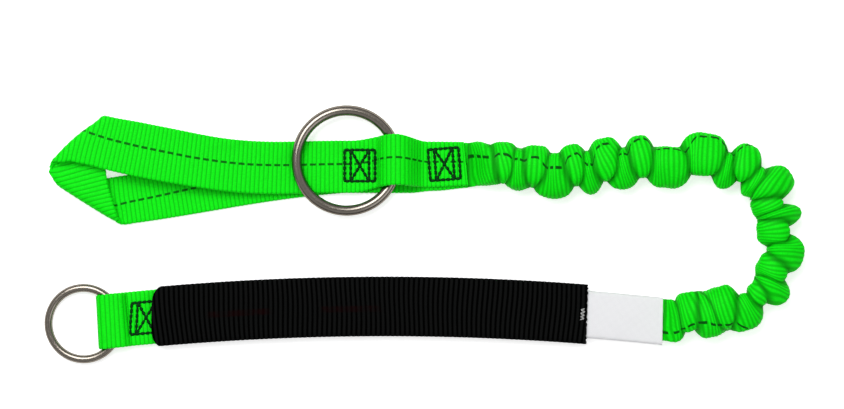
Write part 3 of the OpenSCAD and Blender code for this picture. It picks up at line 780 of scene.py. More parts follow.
@dataclass(frozen=True)
class WebSection:
    """Pressed-flat tube of web: two ribbed faces and two round edges."""

    width: float = 25.4
    thick: float = 2.0
    rib_pitch: float = 2.1
    rib_depth: float = 0.2
    rib_level: float = 0.6
    columns: int = 56
    rows_per_rib: int = 8
    edge_from: float = 0.18
    edge_to: float = 0.32

    def outline(self, around: Array) -> tuple[Array, Array, Array, Array, Array]:
        """Follows the section from the middle of its lower face.

        Args:
            around: Share of the way round.

        Returns:
            Offset across, height, the two parts of the outward normal, and the distance
            round from the middle of the upper face.
        """
        half = self.thick / 2.0
        flat = self.width / 2.0 - half
        edge = flat + math.pi * half
        stops = [0.0, self.edge_from, self.edge_to, 1 - self.edge_to, 1 - self.edge_from, 1.0]
        girth = np.interp(around, stops, [-edge - flat, -edge, -flat, flat, edge, edge + flat])
        side = np.sign(girth)
        far = np.abs(girth)
        turn = np.clip((far - flat) / half, 0.0, math.pi)
        upper = np.minimum(far, flat) + half * np.sin(turn)
        across = side * np.where(far <= edge, upper, flat - (far - edge))
        return across, half * np.cos(turn), side * np.sin(turn), np.cos(turn), girth

    def rib(self, u: Array) -> Array:
        """Height of the ribs at a distance along the web."""
        return self.rib_depth * (np.abs(np.sin(math.pi * u / self.rib_pitch)) - self.rib_level)

    def strip(
        self,
        name: str,
        start: float,
        stop: float,
        carrier: Carrier,
        tracer: Offset,
        dip: Offset | None = None,
    ) -> bpy.types.Mesh:
        """Makes a strip of web.

        Args:
            name: Name of the mesh.
            start: Distance along the web where it begins.
            stop: Distance along the web where it ends.
            carrier: Gives points for distance along, offset across and height.
            tracer: Offset of the tracer at a distance along the web.
            dip: Depth of a dent in the upper face at points of it.

        Returns:
            The mesh.
        """
        rows = max(2, round(abs(stop - start) / self.rib_pitch * self.rows_per_rib))

        def place(along: Array, around: Array) -> tuple[Array, Array]:
            """Points and weave coordinates of the strip."""
            u = mix(start, stop, along)
            across, high, out_across, out_high, girth = self.outline(around)
            lift = self.rib(u)
            if dip is not None:
                lift = lift - dip(carrier(u, across, high)) * (out_high > 0.5)
            points = carrier(u, across + out_across * lift, high + out_high * lift)
            return points, np.stack([u, girth - tracer(u)], axis=1)

        return skin(name, rows, self.columns, place)


@dataclass(frozen=True)
class SewnBox:
    """Sewn box: a frame with doubled end bars and a cross, in single stitches."""

    length: float = 16.2
    width: float = 16.6
    thread: float = 1.5
    bar_gap: float = 2.9
    stitch: float = 2.5
    lap: float = 1.08
    high: float = 0.55
    post_share: float = 0.3
    post_sides: int = 8
    dent: float = 0.32
    dent_half: float = 1.05

    def rows(self) -> list[tuple[Array, Array]]:
        """Ends of each sewn row, from the middle of the box."""
        x = (self.length - self.thread) / 2.0
        y = (self.width - self.thread) / 2.0
        inner = x - self.bar_gap
        pairs = [((e, -y), (e, y)) for e in (-x, -inner, inner, x)]
        pairs += [((-x, y), (x, y)), ((-x, -y), (x, -y))]
        pairs += [((-inner, -y), (inner, y)), ((-inner, y), (inner, -y))]
        return [(np.array(a), np.array(b)) for a, b in pairs]

    def dip(self, frame: Matrix, points: Array) -> Array:
        """Depth that the rows pull the web down by.

        Args:
            frame: Place of the box's middle.
            points: Points of the web.

        Returns:
            The depth at each point.
        """
        local = np.column_stack([points, np.ones(len(points))]) @ np.array(frame.inverted()).T
        p = local[:, :2]
        near = np.full(len(p), np.inf)
        for a, b in self.rows():
            d = b - a
            t = np.clip((p - a) @ d / (d @ d), 0.0, 1.0)
            near = np.minimum(near, np.linalg.norm(p - a - t[:, None] * d, axis=1))
        return self.dent * np.exp(-((near / self.dent_half) ** 2))

    def stitches(self, name: str, frame: Matrix, top: float, bottom: float) -> bpy.types.Mesh:
        """Makes the stitches on both faces, and the thread that passes through.

        Args:
            name: Name of the mesh.
            frame: Place of the box's middle at height 0.
            top: Height of the upper face.
            bottom: Height of the lower face.

        Returns:
            The mesh.
        """
        bm = bmesh.new()
        for level in (top, bottom):
            for a, b in self.rows():
                d = b - a
                long = float(np.linalg.norm(d))
                count = max(1, round(long / self.stitch))
                turn = Matrix.Rotation(math.atan2(d[1], d[0]), 4, "Z")
                for i in range(count):
                    x, y = a + d * (i + 0.5) / count
                    place = frame @ Matrix.Translation((x, y, level)) @ turn
                    add_stitch(bm, place, long * self.lap / count, self.thread, self.high * 2.0)
        for a, b in self.rows()[:4]:
            for p in (a, b):
                self.post(bm, frame, p, bottom, top)
        return to_mesh(bm, name)

    def post(self, bm: bmesh.types.BMesh, frame: Matrix, p: Array, low: float, high: float) -> None:
        """Adds the thread that passes through the plies at a corner."""
        place = Matrix.Translation((p[0], p[1], (low + high) / 2.0))
        radius = self.thread * self.post_share
        bmesh.ops.create_cone(
            bm,
            cap_ends=True,
            segments=self.post_sides,
            radius1=radius,
            radius2=radius,
            depth=high - low,
            matrix=Matrix.Scale(MM, 4) @ frame @ place,
        )


@dataclass(frozen=True)
class Ring:
    """Welded wire ring that hangs by its crown."""

    name: str
    node: str
    body: Body
    eye: float
    wire: float
    weld_half: float = 3.0
    weld_swell: float = 0.12
    weld_ripple: float = 0.4
    ripple_beat: float = 9.0
    around: int = 40
    steps: int = 180

    def mesh(self, place: Matrix) -> bpy.types.Mesh:
        """Makes the ring with its crown at the origin and its middle on -X.

        Args:
            place: Where the crown goes.

        Returns:
            The mesh.
        """
        radius = (self.eye + self.wire) / 2.0
        bm = bmesh.new()
        stand = Matrix.Translation((radius, 0.0, 0.0)) @ Matrix.Rotation(math.pi / 2.0, 4, "X")
        bmesh.ops.create_circle(
            bm, cap_ends=False, segments=self.around, radius=self.wire / 2.0, matrix=stand
        )
        bmesh.ops.spin(
            bm,
            geom=bm.verts[:] + bm.edges[:],
            cent=(0.0, 0.0, 0.0),
            axis=(0.0, 0.0, 1.0),
            dvec=(0.0, 0.0, 0.0),
            angle=2.0 * math.pi,
            steps=self.steps,
            use_merge=True,
            use_normal_flip=False,
            use_duplicate=False,
        )
        for vert in bm.verts:
            angle = math.atan2(vert.co.y, vert.co.x)
            core = Vector((radius * math.cos(angle), radius * math.sin(angle), 0.0))
            bead = math.exp(-((angle * radius / self.weld_half) ** 2))
            beat = self.ripple_beat * angle * radius / self.weld_half
            ripple = 1.0 + self.weld_ripple * math.sin(beat)
            vert.co = core + (vert.co - core) * (1.0 + self.weld_swell * bead * ripple / self.wire)
        bmesh.ops.recalc_face_normals(bm, faces=bm.faces)
        shift = Matrix.Translation((-radius, 0.0, 0.0))
        bmesh.ops.transform(bm, matrix=Matrix.Scale(MM, 4) @ place @ shift, verts=bm.verts)
        return to_mesh(bm, self.name)

    def build(self, place: Matrix, finish: bpy.types.Material) -> None:
        """Adds the ring to the scene."""
        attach(add_piece(self.mesh(place), finish, self.node), self.body.value)


@dataclass(frozen=True)
class SewnLeg:
    """Choke loop, ring keeper and base ply, with the two sewn boxes and the saddle ring."""

    record: Record
    section: WebSection = field(default_factory=WebSection)
    box: SewnBox = field(default_factory=SewnBox)
    ring: Ring = field(
        default_factory=lambda: Ring("welded_ring_large", "saddle_ring", Body.LARGE_RING, 43.4, 5.0)
    )
    # Plies.
    leg_y: float = 32.6
    thread_h: float = 0.5
    ply_gap: float = 0.1
    seam_margin: float = 0.6
    # Middle line of the choke loop.
    loop_l: float = 123.2
    loop_rise: float = 13.6
    front_turn: float = 16.0
    front_pull: float = 65.0
    front_dip: float = 1.4
    dip_l: float = 90.0
    fold_pull: float = 25.0
    flap_lean: float = 8.5
    flap_l: float = 22.5
    rear_turn: float = 6.5
    rear_pull: float = 45.0
    rear_sag: float = 3.5
    # Folds of the choke loop.
    fold_r: float = 2.4
    bulge_a: float = 1.0
    bulge_a_shift: float = 0.4
    bulge_b: float = 3.8
    bulge_b_span: float = 1.5
    bulge_b_most: float = 1.1
    bulge_b_power: float = 0.75
    bulge_b_end: float = 2.05
    bulge_reach: float = 16.0
    nose_y: float = 31.8
    nose_reach: float = 3.0
    nose: float = 1.7
    nose_from: float = 6.0
    nose_l: float = 8.0
    tuck: float = 0.3
    rise_share: float = 0.84
    # Arch of the keeper and its cut end.
    ring_play: float = 0.35
    arch_lean: float = 50.0
    arch_fillet: float = 6.0
    arch_foot: float = 1.5
    cut_slant: float = 2.2
    cut_l: float = 6.0
    overlap: float = 0.4
    # Places of the sewn boxes.
    box_a_up: float = 0.6
    box_b_up: float = 1.3
    box_b_turn: float = 4.5
    samples: int = 400

    @property
    def base_z(self) -> float:
        """Middle height of the base ply."""
        return self.thread_h + self.section.thick / 2.0

    @property
    def keep_z(self) -> float:
        """Middle height of the keeper ply where it is sewn."""
        return self.base_z + self.section.thick + self.ply_gap

    @property
    def flap_z(self) -> float:
        """Middle height of the flap between the two folds."""
        return self.base_z + 2.0 * self.fold_r

    @property
    def front_top(self) -> float:
        """Middle height of the front ply at its fold."""
        return self.flap_z + 2.0 * self.fold_r

    def edges(self) -> tuple[float, float]:
        """Where the base ply starts and ends."""
        low, high = node_box("base_web")
        return float(low[0]), float(high[0])

    def box_middle(self, node: str) -> float:
        """Where the middle of a sewn box is along the leg."""
        low, high = node_box(node)
        return float(low[0] + high[0]) / 2.0

    def crown(self) -> Array:
        """Middle of the wire under the keeper."""
        return self.record.joint("saddle_ring_swing")

    def eye(self) -> Array:
        """Middle of the saddle ring's eye."""
        return self.record.mount("saddle_ring_eye")

    def bezier(self, points: list[Array]) -> tuple[Array, Array, Array]:
        """Samples a curve by its length.

        Args:
            points: Four control points in plan.

        Returns:
            Distances along the curve, points, and unit directions.
        """
        t = np.linspace(0.0, 1.0, self.samples)[:, None]
        a, b, c, d = points
        p = (1 - t) ** 3 * a + 3 * t * (1 - t) ** 2 * b + 3 * t**2 * (1 - t) * c + t**3 * d
        v = (1 - t) ** 2 * (b - a) + 2 * t * (1 - t) * (c - b) + t**2 * (d - c)
        return run_of(p), p, v / np.linalg.norm(v, axis=1)[:, None]

    @staticmethod
    def follow(curve: tuple[Array, Array, Array], s: Array) -> tuple[Array, Array]:
        """Points and directions on a curve, straight on past its ends."""
        run, p, d = curve
        at, to = sample(s, run, p), sample(s, run, d)
        past = np.maximum(s - run[-1], 0.0) + np.minimum(s, 0.0)
        return at + to * past[:, None], to

    def roll(self, q: Array) -> tuple[Array, Array, Array]:
        """Rolls a flat ply over a fold.

        Args:
            q: Distance past the fold line in the flat.

        Returns:
            Distance past the fold line when folded, drop, and angle of the roll.
        """
        r = self.fold_r
        angle = np.clip(q / r, 0.0, math.pi)
        past = np.maximum(q - math.pi * r, 0.0)
        return np.minimum(q, 0.0) + r * np.sin(angle) - past, r * (1.0 - np.cos(angle)), angle

    def loop(self) -> bpy.types.Mesh:
        """Makes the half-twisted choke loop in one run of web."""
        r = self.fold_r
        start = np.array([self.edges()[0], self.leg_y])
        front_head = heading(180.0 - self.front_turn)
        flap_head = heading(270.0 + self.flap_lean)
        rear_head = heading(self.rear_turn)
        a_dir = heading((180.0 - self.front_turn + 270.0 + self.flap_lean) / 2.0 + 180.0)
        a_out = left_of(a_dir)
        b_dir = heading((270.0 + self.flap_lean + 360.0 + self.rear_turn) / 2.0)
        b_out = -left_of(b_dir)
        fold_a = start + np.array([-self.loop_l, self.loop_rise])
        a_run = math.pi * r / (front_head @ a_out)
        fold_b = fold_a + a_dir * (front_head @ a_dir) * a_run + flap_head * self.flap_l
        b_run = math.pi * r / (flap_head @ b_out)
        fold_b_end = fold_b + b_dir * (flap_head @ b_dir) * b_run
        front_pull = start - np.array([self.front_pull, 0.0])
        rear_pull = start - np.array([self.rear_pull, self.rear_sag])
        front = self.bezier([start, front_pull, fold_a - front_head * self.fold_pull, fold_a])
        rear = self.bezier([fold_b_end, fold_b_end + rear_head * self.rear_pull, rear_pull, start])
        front_l = front[0][-1]
        fold_l = a_run + self.flap_l + b_run
        total = front_l + fold_l + rear[0][-1]
        half = self.section.width / 2.0

        def spread(u: Array, across: Array) -> Array:
            """Share of the full width, which differs on the two sides of the web."""
            past = u - front_l
            stops = [-50.0, -6.0, 3.0, 9.0, 17.0, 26.0, fold_l + 10.0, fold_l + 55.0, total]
            inner = ease_through(past, stops, [1.0, 0.96, 1.02, 1.15, 1.15, 0.9, 0.86, 1.0, 1.0])
            stops = [-70.0, -24.0, -6.0, 12.0, 24.0, fold_l + 2.0, total]
            outer = ease_through(past, stops, [1.0, 1.08, 1.03, 0.84, 0.84, 1.0, 1.0])
            return np.where(across > 0.0, inner, outer)

        def near(q: Array) -> Array:
            """Share of a fold's bulge at distances past the fold line in the flat."""
            past = np.maximum(q - math.pi * r, 0.0)
            before = np.minimum(q, 0.0)
            return smooth(1.0 + before / self.bulge_reach) * smooth(1.0 - past / self.bulge_reach)

        def carrier(u: Array, across: Array, high: Array) -> Array:
            """Points of the loop: front ply, first fold, flap, second fold, rear ply."""
            at, to = self.follow(front, u)
            flat = at + left_of(to) * (across * spread(u, across))[:, None]
            d_a, flat_a = (flat - fold_a) @ a_dir, (flat - fold_a) @ a_out
            q_a, drop_a, angle_a = self.roll(flat_a)
            q_a, lift_a = q_a + high * np.sin(angle_a), high * np.cos(angle_a)
            over = angle_a >= math.pi
            off = (d_a + self.bulge_a_shift * half) / half
            swell = self.bulge_a * np.clip(1.0 - off**2, 0.0, 1.0) * near(flat_a)
            plan = fold_a + a_dir * d_a[:, None] + a_out * q_a[:, None]
            rise = smooth(u / front_l / self.rise_share)
            z = mix(self.keep_z, self.front_top, rise) - drop_a + lift_a
            d_b, flat_b = (plan - fold_b) @ b_dir, np.where(over, (plan - fold_b) @ b_out, -1.0)
            q_b, drop_b, angle_b = self.roll(flat_b)
            q_b, lift_b = q_b - high * np.sin(angle_b), -high * np.cos(angle_b)
            folded = fold_b + b_dir * d_b[:, None] + b_out * q_b[:, None]
            z = np.where(over, self.flap_z - drop_b + lift_b, z)
            plan = plan + a_out * swell[:, None]
            span = self.bulge_b_span * half
            off = np.clip((span - d_b) / (2.0 * span), 0.0, self.bulge_b_most)
            swell = self.bulge_b * off**self.bulge_b_power * near(flat_b) * over
            swell = swell * smooth(d_b / half + self.bulge_b_end)
            plan = plan + b_out * swell[:, None]
            s = (folded - fold_b_end) @ rear_head
            side = (folded - fold_b_end) @ left_of(rear_head)
            at, to = self.follow(rear, s)
            back = at + left_of(to) * side[:, None]
            plan = np.where((angle_b > 0.0)[:, None], folded + b_out * swell[:, None], plan)
            plan = np.where((angle_b >= math.pi)[:, None], back + b_out * swell[:, None], plan)
            plan[:, 1] -= self.front_dip * np.sin(math.pi * np.clip(u / self.dip_l, 0.0, 1.0)) ** 2
            tip = smooth((fold_a[0] - self.nose_from - plan[:, 0]) / self.nose_l)
            plan[:, 0] -= self.nose * tip * np.exp(-(((plan[:, 1] - self.nose_y) / self.nose_reach) ** 2))
            return np.column_stack([plan, z])

        def tracer(u: Array) -> Array:
            """Offset of the tracer, which wanders at the folds."""
            stops = [0.0, 0.6 * front_l, front_l, front_l + fold_l, front_l + fold_l + 45.0, total]
            return np.interp(u, stops, [TRACER_OFFSET, TRACER_OFFSET, -2.7, -2.9, -0.3, TRACER_OFFSET])

        return self.section.strip("choke_loop_web", -self.tuck, total + self.tuck, carrier, tracer)

    def keeper_path(self) -> SideLine:
        """Middle line of the keeper ply, side view.

        Returns:
            Distances along it, positions along the leg, heights, and slopes.
        """
        start, stop = self.edges()
        crown_x, _, crown_z = self.crown()
        half = self.section.thick / 2.0
        reach = (self.ring.eye + self.ring.wire) / 2.0
        reach -= math.sqrt((self.ring.eye / 2.0) ** 2 - (self.section.width / 2.0) ** 2)
        arch_r = reach + self.ring_play + half
        foot_drop = self.keep_z + self.arch_foot - crown_z
        foot_x = crown_x - math.sqrt((arch_r + self.arch_foot) ** 2 - foot_drop**2)
        foot_turn = math.pi / 2.0 - math.atan2(foot_drop, crown_x - foot_x)
        lean = math.radians(self.arch_lean)
        sewn_x = float(node_box("box_stitch_b")[0][0]) - self.seam_margin
        foot = np.linspace(0.0, foot_turn, 40)
        arch = np.linspace(foot_turn, -lean, 120)
        fillet = np.linspace(-lean, 0.0, 40)
        x = np.concatenate([
            [start],
            foot_x + self.arch_foot * np.sin(foot),
            crown_x - arch_r * np.sin(arch),
            sewn_x + self.arch_fillet * np.sin(fillet),
            [stop],
        ])
        z = np.concatenate([
            [self.keep_z],
            self.keep_z + self.arch_foot * (1.0 - np.cos(foot)),
            crown_z + arch_r * np.cos(arch),
            self.keep_z + self.arch_fillet * (1.0 - np.cos(fillet)),
            [self.keep_z],
        ])
        slope = np.concatenate([[0.0], foot, arch, fillet, [0.0]])
        return side_line(x, z, slope)

    def keeper(self) -> bpy.types.Mesh:
        """Makes the keeper ply that arches over the ring, up to its cut end."""
        run, xs, zs, slopes = self.keeper_path()
        half = self.section.width / 2.0
        last = run[-1] + self.overlap
        run, xs = np.append(run, last), np.append(xs, xs[-1] + self.overlap)
        zs, slopes = np.append(zs, zs[-1]), np.append(slopes, 0.0)

        def bow(x: Array) -> Array:
            """Shift of the ply's middle line across the leg."""
            return ease_through(x, [-36.0, -14.5, 1.0, 40.0], [0.0, 3.3, 1.3, 1.3])

        def draw(x: Array, across: Array) -> Array:
            """Share of the full width, where the boxes draw the ply in."""
            stops = [-36.0, -14.0, 2.0, 22.0]
            lower = ease_through(x, stops, [1.0, 0.95, 0.88, 0.82])
            upper = ease_through(x, stops, [1.0, 0.98, 0.86, 0.85])
            return np.where(across > 0.0, lower, upper)

        def carrier(u: Array, across: Array, high: Array) -> Array:
            """Points of the ply, up to its slanting cut."""
            cut = self.cut_slant * np.clip(0.5 - 0.5 * across / half, 0.0, 1.0)
            s = -u - cut * smooth((-u - last + self.cut_l) / self.cut_l)
            x, z, slope = (np.interp(s, run, c) for c in (xs, zs, slopes))
            y = self.leg_y + bow(x) - across * draw(x, across)
            return np.column_stack([x - high * np.sin(slope), y, z + high * np.cos(slope)])

        def dip(points: Array) -> Array:
            """Dents that the two boxes pull into the ply."""
            nodes = ("box_stitch_a", "box_stitch_b")
            return sum(self.box.dip(self.box_frame(node), points) for node in nodes)

        return self.section.strip("keeper_ply", 0.0, -last, carrier, steady(TRACER_OFFSET), dip)

    def box_frame(self, node: str) -> Matrix:
        """Place of a sewn box's middle."""
        first = node == "box_stitch_a"
        up = self.box_a_up if first else self.box_b_up
        turn = Matrix.Rotation(0.0 if first else math.radians(self.box_b_turn), 4, "Z")
        return Matrix.Translation((self.box_middle(node), self.leg_y + up, 0.0)) @ turn

    def base(self) -> bpy.types.Mesh:
        """Makes the base ply under the keeper."""
        start, stop = self.edges()

        def carrier(u: Array, across: Array, high: Array) -> Array:
            """Points of the ply, which narrows towards the ruched run."""
            x = start - u
            stops = [-20.0, -8.0, 4.0, 22.0]
            lower = ease_through(x, stops, [1.0, 1.0, 0.92, 0.8])
            upper = ease_through(x, stops, [1.0, 1.0, 0.94, 0.92])
            drawn = across * np.where(across > 0.0, lower, upper)
            return np.column_stack([x, self.leg_y - drawn, self.base_z + high])

        end = start - stop - self.overlap
        return self.section.strip("base_ply", 0.0, end, carrier, steady(TRACER_OFFSET))

    def build(self, finishes: Finishes) -> None:
        """Adds the leg's pieces to the scene."""
        strips = (
            (self.loop(), "choke_loop"),
            (self.keeper(), "keeper_web"),
            (self.base(), "base_web"),
        )
        for mesh, node in strips:
            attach(add_piece(mesh, finishes.web, node), Body.SEWN_LEG.value)
        top = self.keep_z + self.section.thick / 2.0
        bottom = max(self.base_z - self.section.thick / 2.0, self.box.high + FLOOR)
        for name, node in (("sewn_box_ring", "box_stitch_a"), ("sewn_box_tail", "box_stitch_b")):
            mesh = self.box.stitches(name, self.box_frame(node), top, bottom)
            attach(add_piece(mesh, finishes.thread, node), Body.SEWN_LEG.value)
        crown, eye = self.crown(), self.eye()
        tilt = math.atan2(eye[2] - crown[2], crown[0] - eye[0])
        place = Matrix.Translation(crown) @ Matrix.Rotation(tilt, 4, "Y")
        self.ring.build(place, finishes.wire)


@dataclass(frozen=True)
class Notch:
    """One notch in a side of the ruched cover, and the lump after it.

    Args:
        at: Its distance along the route.
        half: Half of its flat part.
        low: Half width of the cover in it.
        lump: Half width of the cover at the lump after it.
    """

    at: float
    half: float
    low: float
    lump: float


# Notches in the cover's outer side.
OUTER = (
    Notch(10.0, 0.5, 10.8, 12.3),
    Notch(24.0, 1.2, 10.0, 11.8),
    Notch(42.0, 2.0, 8.5, 12.3),
    Notch(58.0, 0.6, 8.5, 14.1),
    Notch(76.0, 0.6, 8.2, 13.7),
    Notch(96.0, 6.0, 7.6, 14.5),
    Notch(125.0, 0.4, 7.0, 13.6),
    Notch(140.0, 0.6, 6.8, 14.5),
    Notch(156.0, 0.4, 3.8, 11.4),
    Notch(169.0, 0.8, 2.6, 11.6),
    Notch(189.0, 1.2, 6.0, 12.2),
    Notch(203.5, 0.8, 5.6, 12.9),
    Notch(221.5, 0.4, 9.6, 10.9),
    Notch(239.5, 1.6, 4.4, 9.6),
)

# Notches in the cover's inner side, each one between two of the outer side.
INNER = (
    Notch(17.0, 0.6, 7.8, 10.7),
    Notch(31.5, 0.6, 8.8, 13.7),
    Notch(51.5, 0.8, 8.3, 12.9),
    Notch(65.5, 0.6, 7.0, 12.1),
    Notch(84.0, 1.6, 7.2, 12.5),
    Notch(113.0, 5.0, 5.8, 11.1),
    Notch(133.5, 0.6, 4.3, 9.7),
    Notch(147.0, 0.4, 8.7, 11.0),
    Notch(160.0, 0.4, 10.2, 11.7),
    Notch(178.5, 1.0, 6.5, 9.6),
    Notch(197.0, 0.4, 7.2, 6.4),
    Notch(209.0, 2.0, 3.8, 12.3),
    Notch(231.0, 0.4, 12.4, 13.7),
    Notch(246.0, 0.8, 10.6, 10.9),
)

# Points in plan of the run's middle line.
ROUTE = (
    (20.6, 32.6),
    (32.0, 32.6),
    (46.0, 31.8),
    (62.0, 30.8),
    (84.0, 32.4),
    (104.0, 34.4),
    (124.0, 34.6),
    (139.0, 34.0),
    (153.5, 30.0),
    (163.0, 23.0),
    (168.6, 13.0),
    (171.4, 1.0),
    (170.6, -12.0),
    (166.0, -23.0),
    (157.5, -31.4),
    (146.0, -36.4),
    (132.0, -40.3),
    (122.0, -42.6),
    (114.6, -42.2),
)

# Where the tracer runs on the cover: distance along the route, then degrees from its outer side.
TRACER = (
    (0, 82), (7, 73), (12, 66), (14, 57), (18, 60), (22, 67), (27, 70), (29, 61), (33, 61), (36, 76),
    (38, 84), (46, 84), (48, 58), (53, 52), (55, 60), (57, 82), (60, 82), (62, 44), (65, 36), (70, 36),
    (73, 60), (77, 62), (79, 36), (85, 28), (89, 32), (92, 52), (99, 47), (103, 52), (106, 48), (110, 26),
    (116, 25), (123, 27), (127, 36), (135, -10), (150, -30), (205, -20), (220, 52), (226, 62), (231, 78),
    (239, 78), (243, 70), (251, 78),
)


@dataclass(frozen=True)
class Bungee:
    """Ruched web over its elastic: lumps of cloth that lock into each other."""

    # Size of a middling lump, and how far lumps and notches rise on top.
    hw: float = 12.2
    hh: float = 8.0
    rise: float = 1.8
    floor_rise: float = 1.0
    notch_soft: float = 0.9
    height_follow: float = 0.6
    fullness: float = 0.85
    clear: float = 0.3
    # Both ends, where the cover is sewn flat.
    start_hw: float = 11.6
    start_low: float = 10.0
    start_z: float = 2.55
    start_hh: float = 2.05
    start_square: float = 0.45
    first_outer: float = 12.1
    first_inner: float = 9.0
    end_hw: float = 10.8
    end_low: float = 9.8
    end_hh: float = 2.7
    end_z: float = 4.75
    end_square: float = 0.5
    ease: float = 12.0
    fade: float = 6.0
    # Mesh, ribs and wrinkles.
    rows_per_fold: int = 60
    columns: int = 90
    rib_depth: float = 0.2
    rib_pitch: float = 1.8
    rib_slant: float = 0.3
    slant_beat: float = 0.9
    drift: float = 1.3
    drift_beat: float = 0.37
    wrinkle: float = 0.3
    wrinkle_a: tuple = (0.55, 4.0)
    wrinkle_b: tuple = (0.21, -3.0)
    lump_spans: tuple = (10.0, 22.0)
    lump_powers: tuple = (2.0, 3.6)
    least_span: float = 0.01
    tracer_r: float = 8.0
    crease_slope: float = 0.45
    crease_power: float = 3.0
    # Elastic strip.
    core_half: float = 3.0
    core_hh: float = 1.7
    core_start_hh: float = 0.75
    core_end_hh: float = 1.4
    core_square: float = 0.6
    core_from: float = 0.2
    core_short: float = 0.9
    core_rows: int = 60
    core_columns: int = 20
    steps: int = 24
    # Notch where the run is split, and where the stretch and the bend begin and end.
    split: int = 6
    stretch_from: float = 20.6
    stretch_to: float = 140.0
    bend_x: float = 150.0
    bend_from: float = 31.0
    bend_to: float = -34.0

    def route(self) -> tuple[Array, Array]:
        """Samples the middle line.

        Returns:
            Distances along it, and points in plan.
        """
        p = np.array(ROUTE)
        line = []
        t = np.linspace(0.0, 1.0, self.steps, endpoint=False)[:, None]
        for i in range(len(p) - 1):
            a, b, c = p[max(i - 1, 0)], p[i], p[i + 1]
            d = p[min(i + 2, len(p) - 1)]
            span = 2 * b + (c - a) * t + (2 * a - 5 * b + 4 * c - d) * t**2
            line.append(0.5 * (span + (3 * b - a - 3 * c + d) * t**3))
        line.append(p[-1:])
        points = np.concatenate(line)
        return run_of(points), points

    def folds(self, length: float) -> Array:
        """Lists the folds of the cover in order.

        Args:
            length: Length of the route.

        Returns:
            A row for each fold: both creases on the outer and the inner side, the half
            widths there, and the half widths of its crest.
        """
        outer, inner = OUTER[0], INNER[0]
        rows = [[
            0.0, 0.0, outer.at - outer.half, inner.at - inner.half,
            self.start_hw, self.start_low, outer.low, inner.low,
            self.first_outer, self.first_inner,
        ]]
        for a, b, c, d in zip(OUTER, INNER, OUTER[1:], INNER[1:]):
            rows.append([
                a.at + a.half, b.at - b.half, c.at - c.half, b.at + b.half,
                a.low, b.low, c.low, b.low, a.lump, b.low,
            ])
            rows.append([
                c.at - c.half, b.at + b.half, c.at + c.half, d.at - d.half,
                c.low, b.low, c.low, d.low, c.low, b.lump,
            ])
        outer, inner = OUTER[-1], INNER[-1]
        rows.append([
            outer.at + outer.half, inner.at - inner.half, length, length,
            outer.low, inner.low, self.end_low, self.end_hw, outer.lump, inner.lump,
        ])
        table = np.array(rows)
        table[0, 2] = table[1, 0]
        return table

    def eased(self, s: Array, length: float, first: float, full: float, last: float) -> Array:
        """Value that opens out from both ends of the run."""
        into = smooth(s / self.ease)
        away = smooth((length - s) / self.ease)
        return mix(first, full, into) + mix(last, full, away) - full

    def tracer(self, s: Array) -> Array:
        """Angle of the tracer round the cover, in degrees from its outer side."""
        stops, angles = np.transpose(TRACER)
        return np.interp(s, stops, angles)

    def place(self, s: Array, w: Array, h: Array, angle: Array, square: Array) -> Array:
        """Points of the run.

        Args:
            s: Distance along the route.
            w: Half width.
            h: Half height.
            angle: Angle round the section, from the outer side, in radians.
            square: Power that makes the section fuller below 1.

        Returns:
            The points.
        """
        run, points = self.route()
        length = run[-1]
        at, ahead, behind = (sample(s + step, run, points) for step in (0.0, 1.0, -1.0))
        to = ahead - behind
        to /= np.linalg.norm(to, axis=1)[:, None]
        c, n = np.cos(angle), np.sin(angle)
        side = np.sign(c) * np.abs(c) ** square
        up = np.sign(n) * np.abs(n) ** square
        full = self.hh * (1.0 + self.rise / self.hw) + self.clear
        z = self.eased(s, length, self.start_z, full, self.end_z)
        plan = at + left_of(to) * (w * side)[:, None]
        return np.column_stack([plan, z + h * up])

    def cover(self, name: str, first: int, last: int) -> bpy.types.Mesh:
        """Makes a run of the cover.

        Args:
            name: Name of the mesh.
            first: Its first fold.
            last: The fold after its last one.

        Returns:
            The mesh.
        """
        length = self.route()[0][-1]
        folds = self.folds(length)
        per = self.rows_per_fold
        rows = (last - first) * per

        def place(along: Array, around: Array) -> tuple[Array, Array, Array]:
            """Points, weave coordinates and height out of the crease, fold by fold."""
            row = np.rint(along * rows).astype(int)
            fold = np.minimum(row // per, last - first - 1)
            x = (row - fold * per) / per
            angle = 2.0 * math.pi * around - math.pi / 2.0
            f = folds[first + fold]
            side = -np.cos(angle)
            bent = np.sign(side) * np.abs(side) ** self.crease_power
            over = 0.5 + 0.5 * mix(bent, side, self.crease_slope)
            s0, s1 = mix(f[:, 0], f[:, 1], over), mix(f[:, 2], f[:, 3], over)
            w0, w1 = mix(f[:, 4], f[:, 5], over), mix(f[:, 6], f[:, 7], over)
            top = np.sin(angle) ** 2
            here = np.maximum(s1 - s0, self.least_span)
            deep = here * np.minimum(x, 1.0 - x)
            deep = deep**2 / (deep + self.notch_soft) * (1.0 + 2.0 * self.notch_soft / here)
            power = np.interp(here, self.lump_spans, self.lump_powers)
            full = np.clip(1.0 - np.abs(1.0 - 2.0 * deep / here) ** power, 0.0, 1.0) ** self.fullness
            low = mix(w0, w1, x) + self.floor_rise * top
            crest = np.maximum(mix(f[:, 8], f[:, 9], over) + self.rise * top, low)
            s = mix(s0, s1, x)
            ends = smooth(np.minimum(s, length - s) / self.fade)
            w = mix(low, crest, full)
            slant = self.rib_slant * (0.5 + 0.5 * np.cos(self.slant_beat * (first + fold)))
            web = s + slant * w * np.cos(angle) * full
            s = s + self.drift * np.sin(self.drift_beat * s + 1.0) * top * ends
            beat = np.sin(math.pi * web / self.rib_pitch) ** 2
            w = w + self.rib_depth * (beat - 0.5) * ends
            wave_a, wave_b = (np.sin(a * s + b * angle) for a, b in (self.wrinkle_a, self.wrinkle_b))
            w = w + self.wrinkle * wave_a * wave_b * ends
            h = self.eased(s, length, self.start_hh, self.hh, self.end_hh)
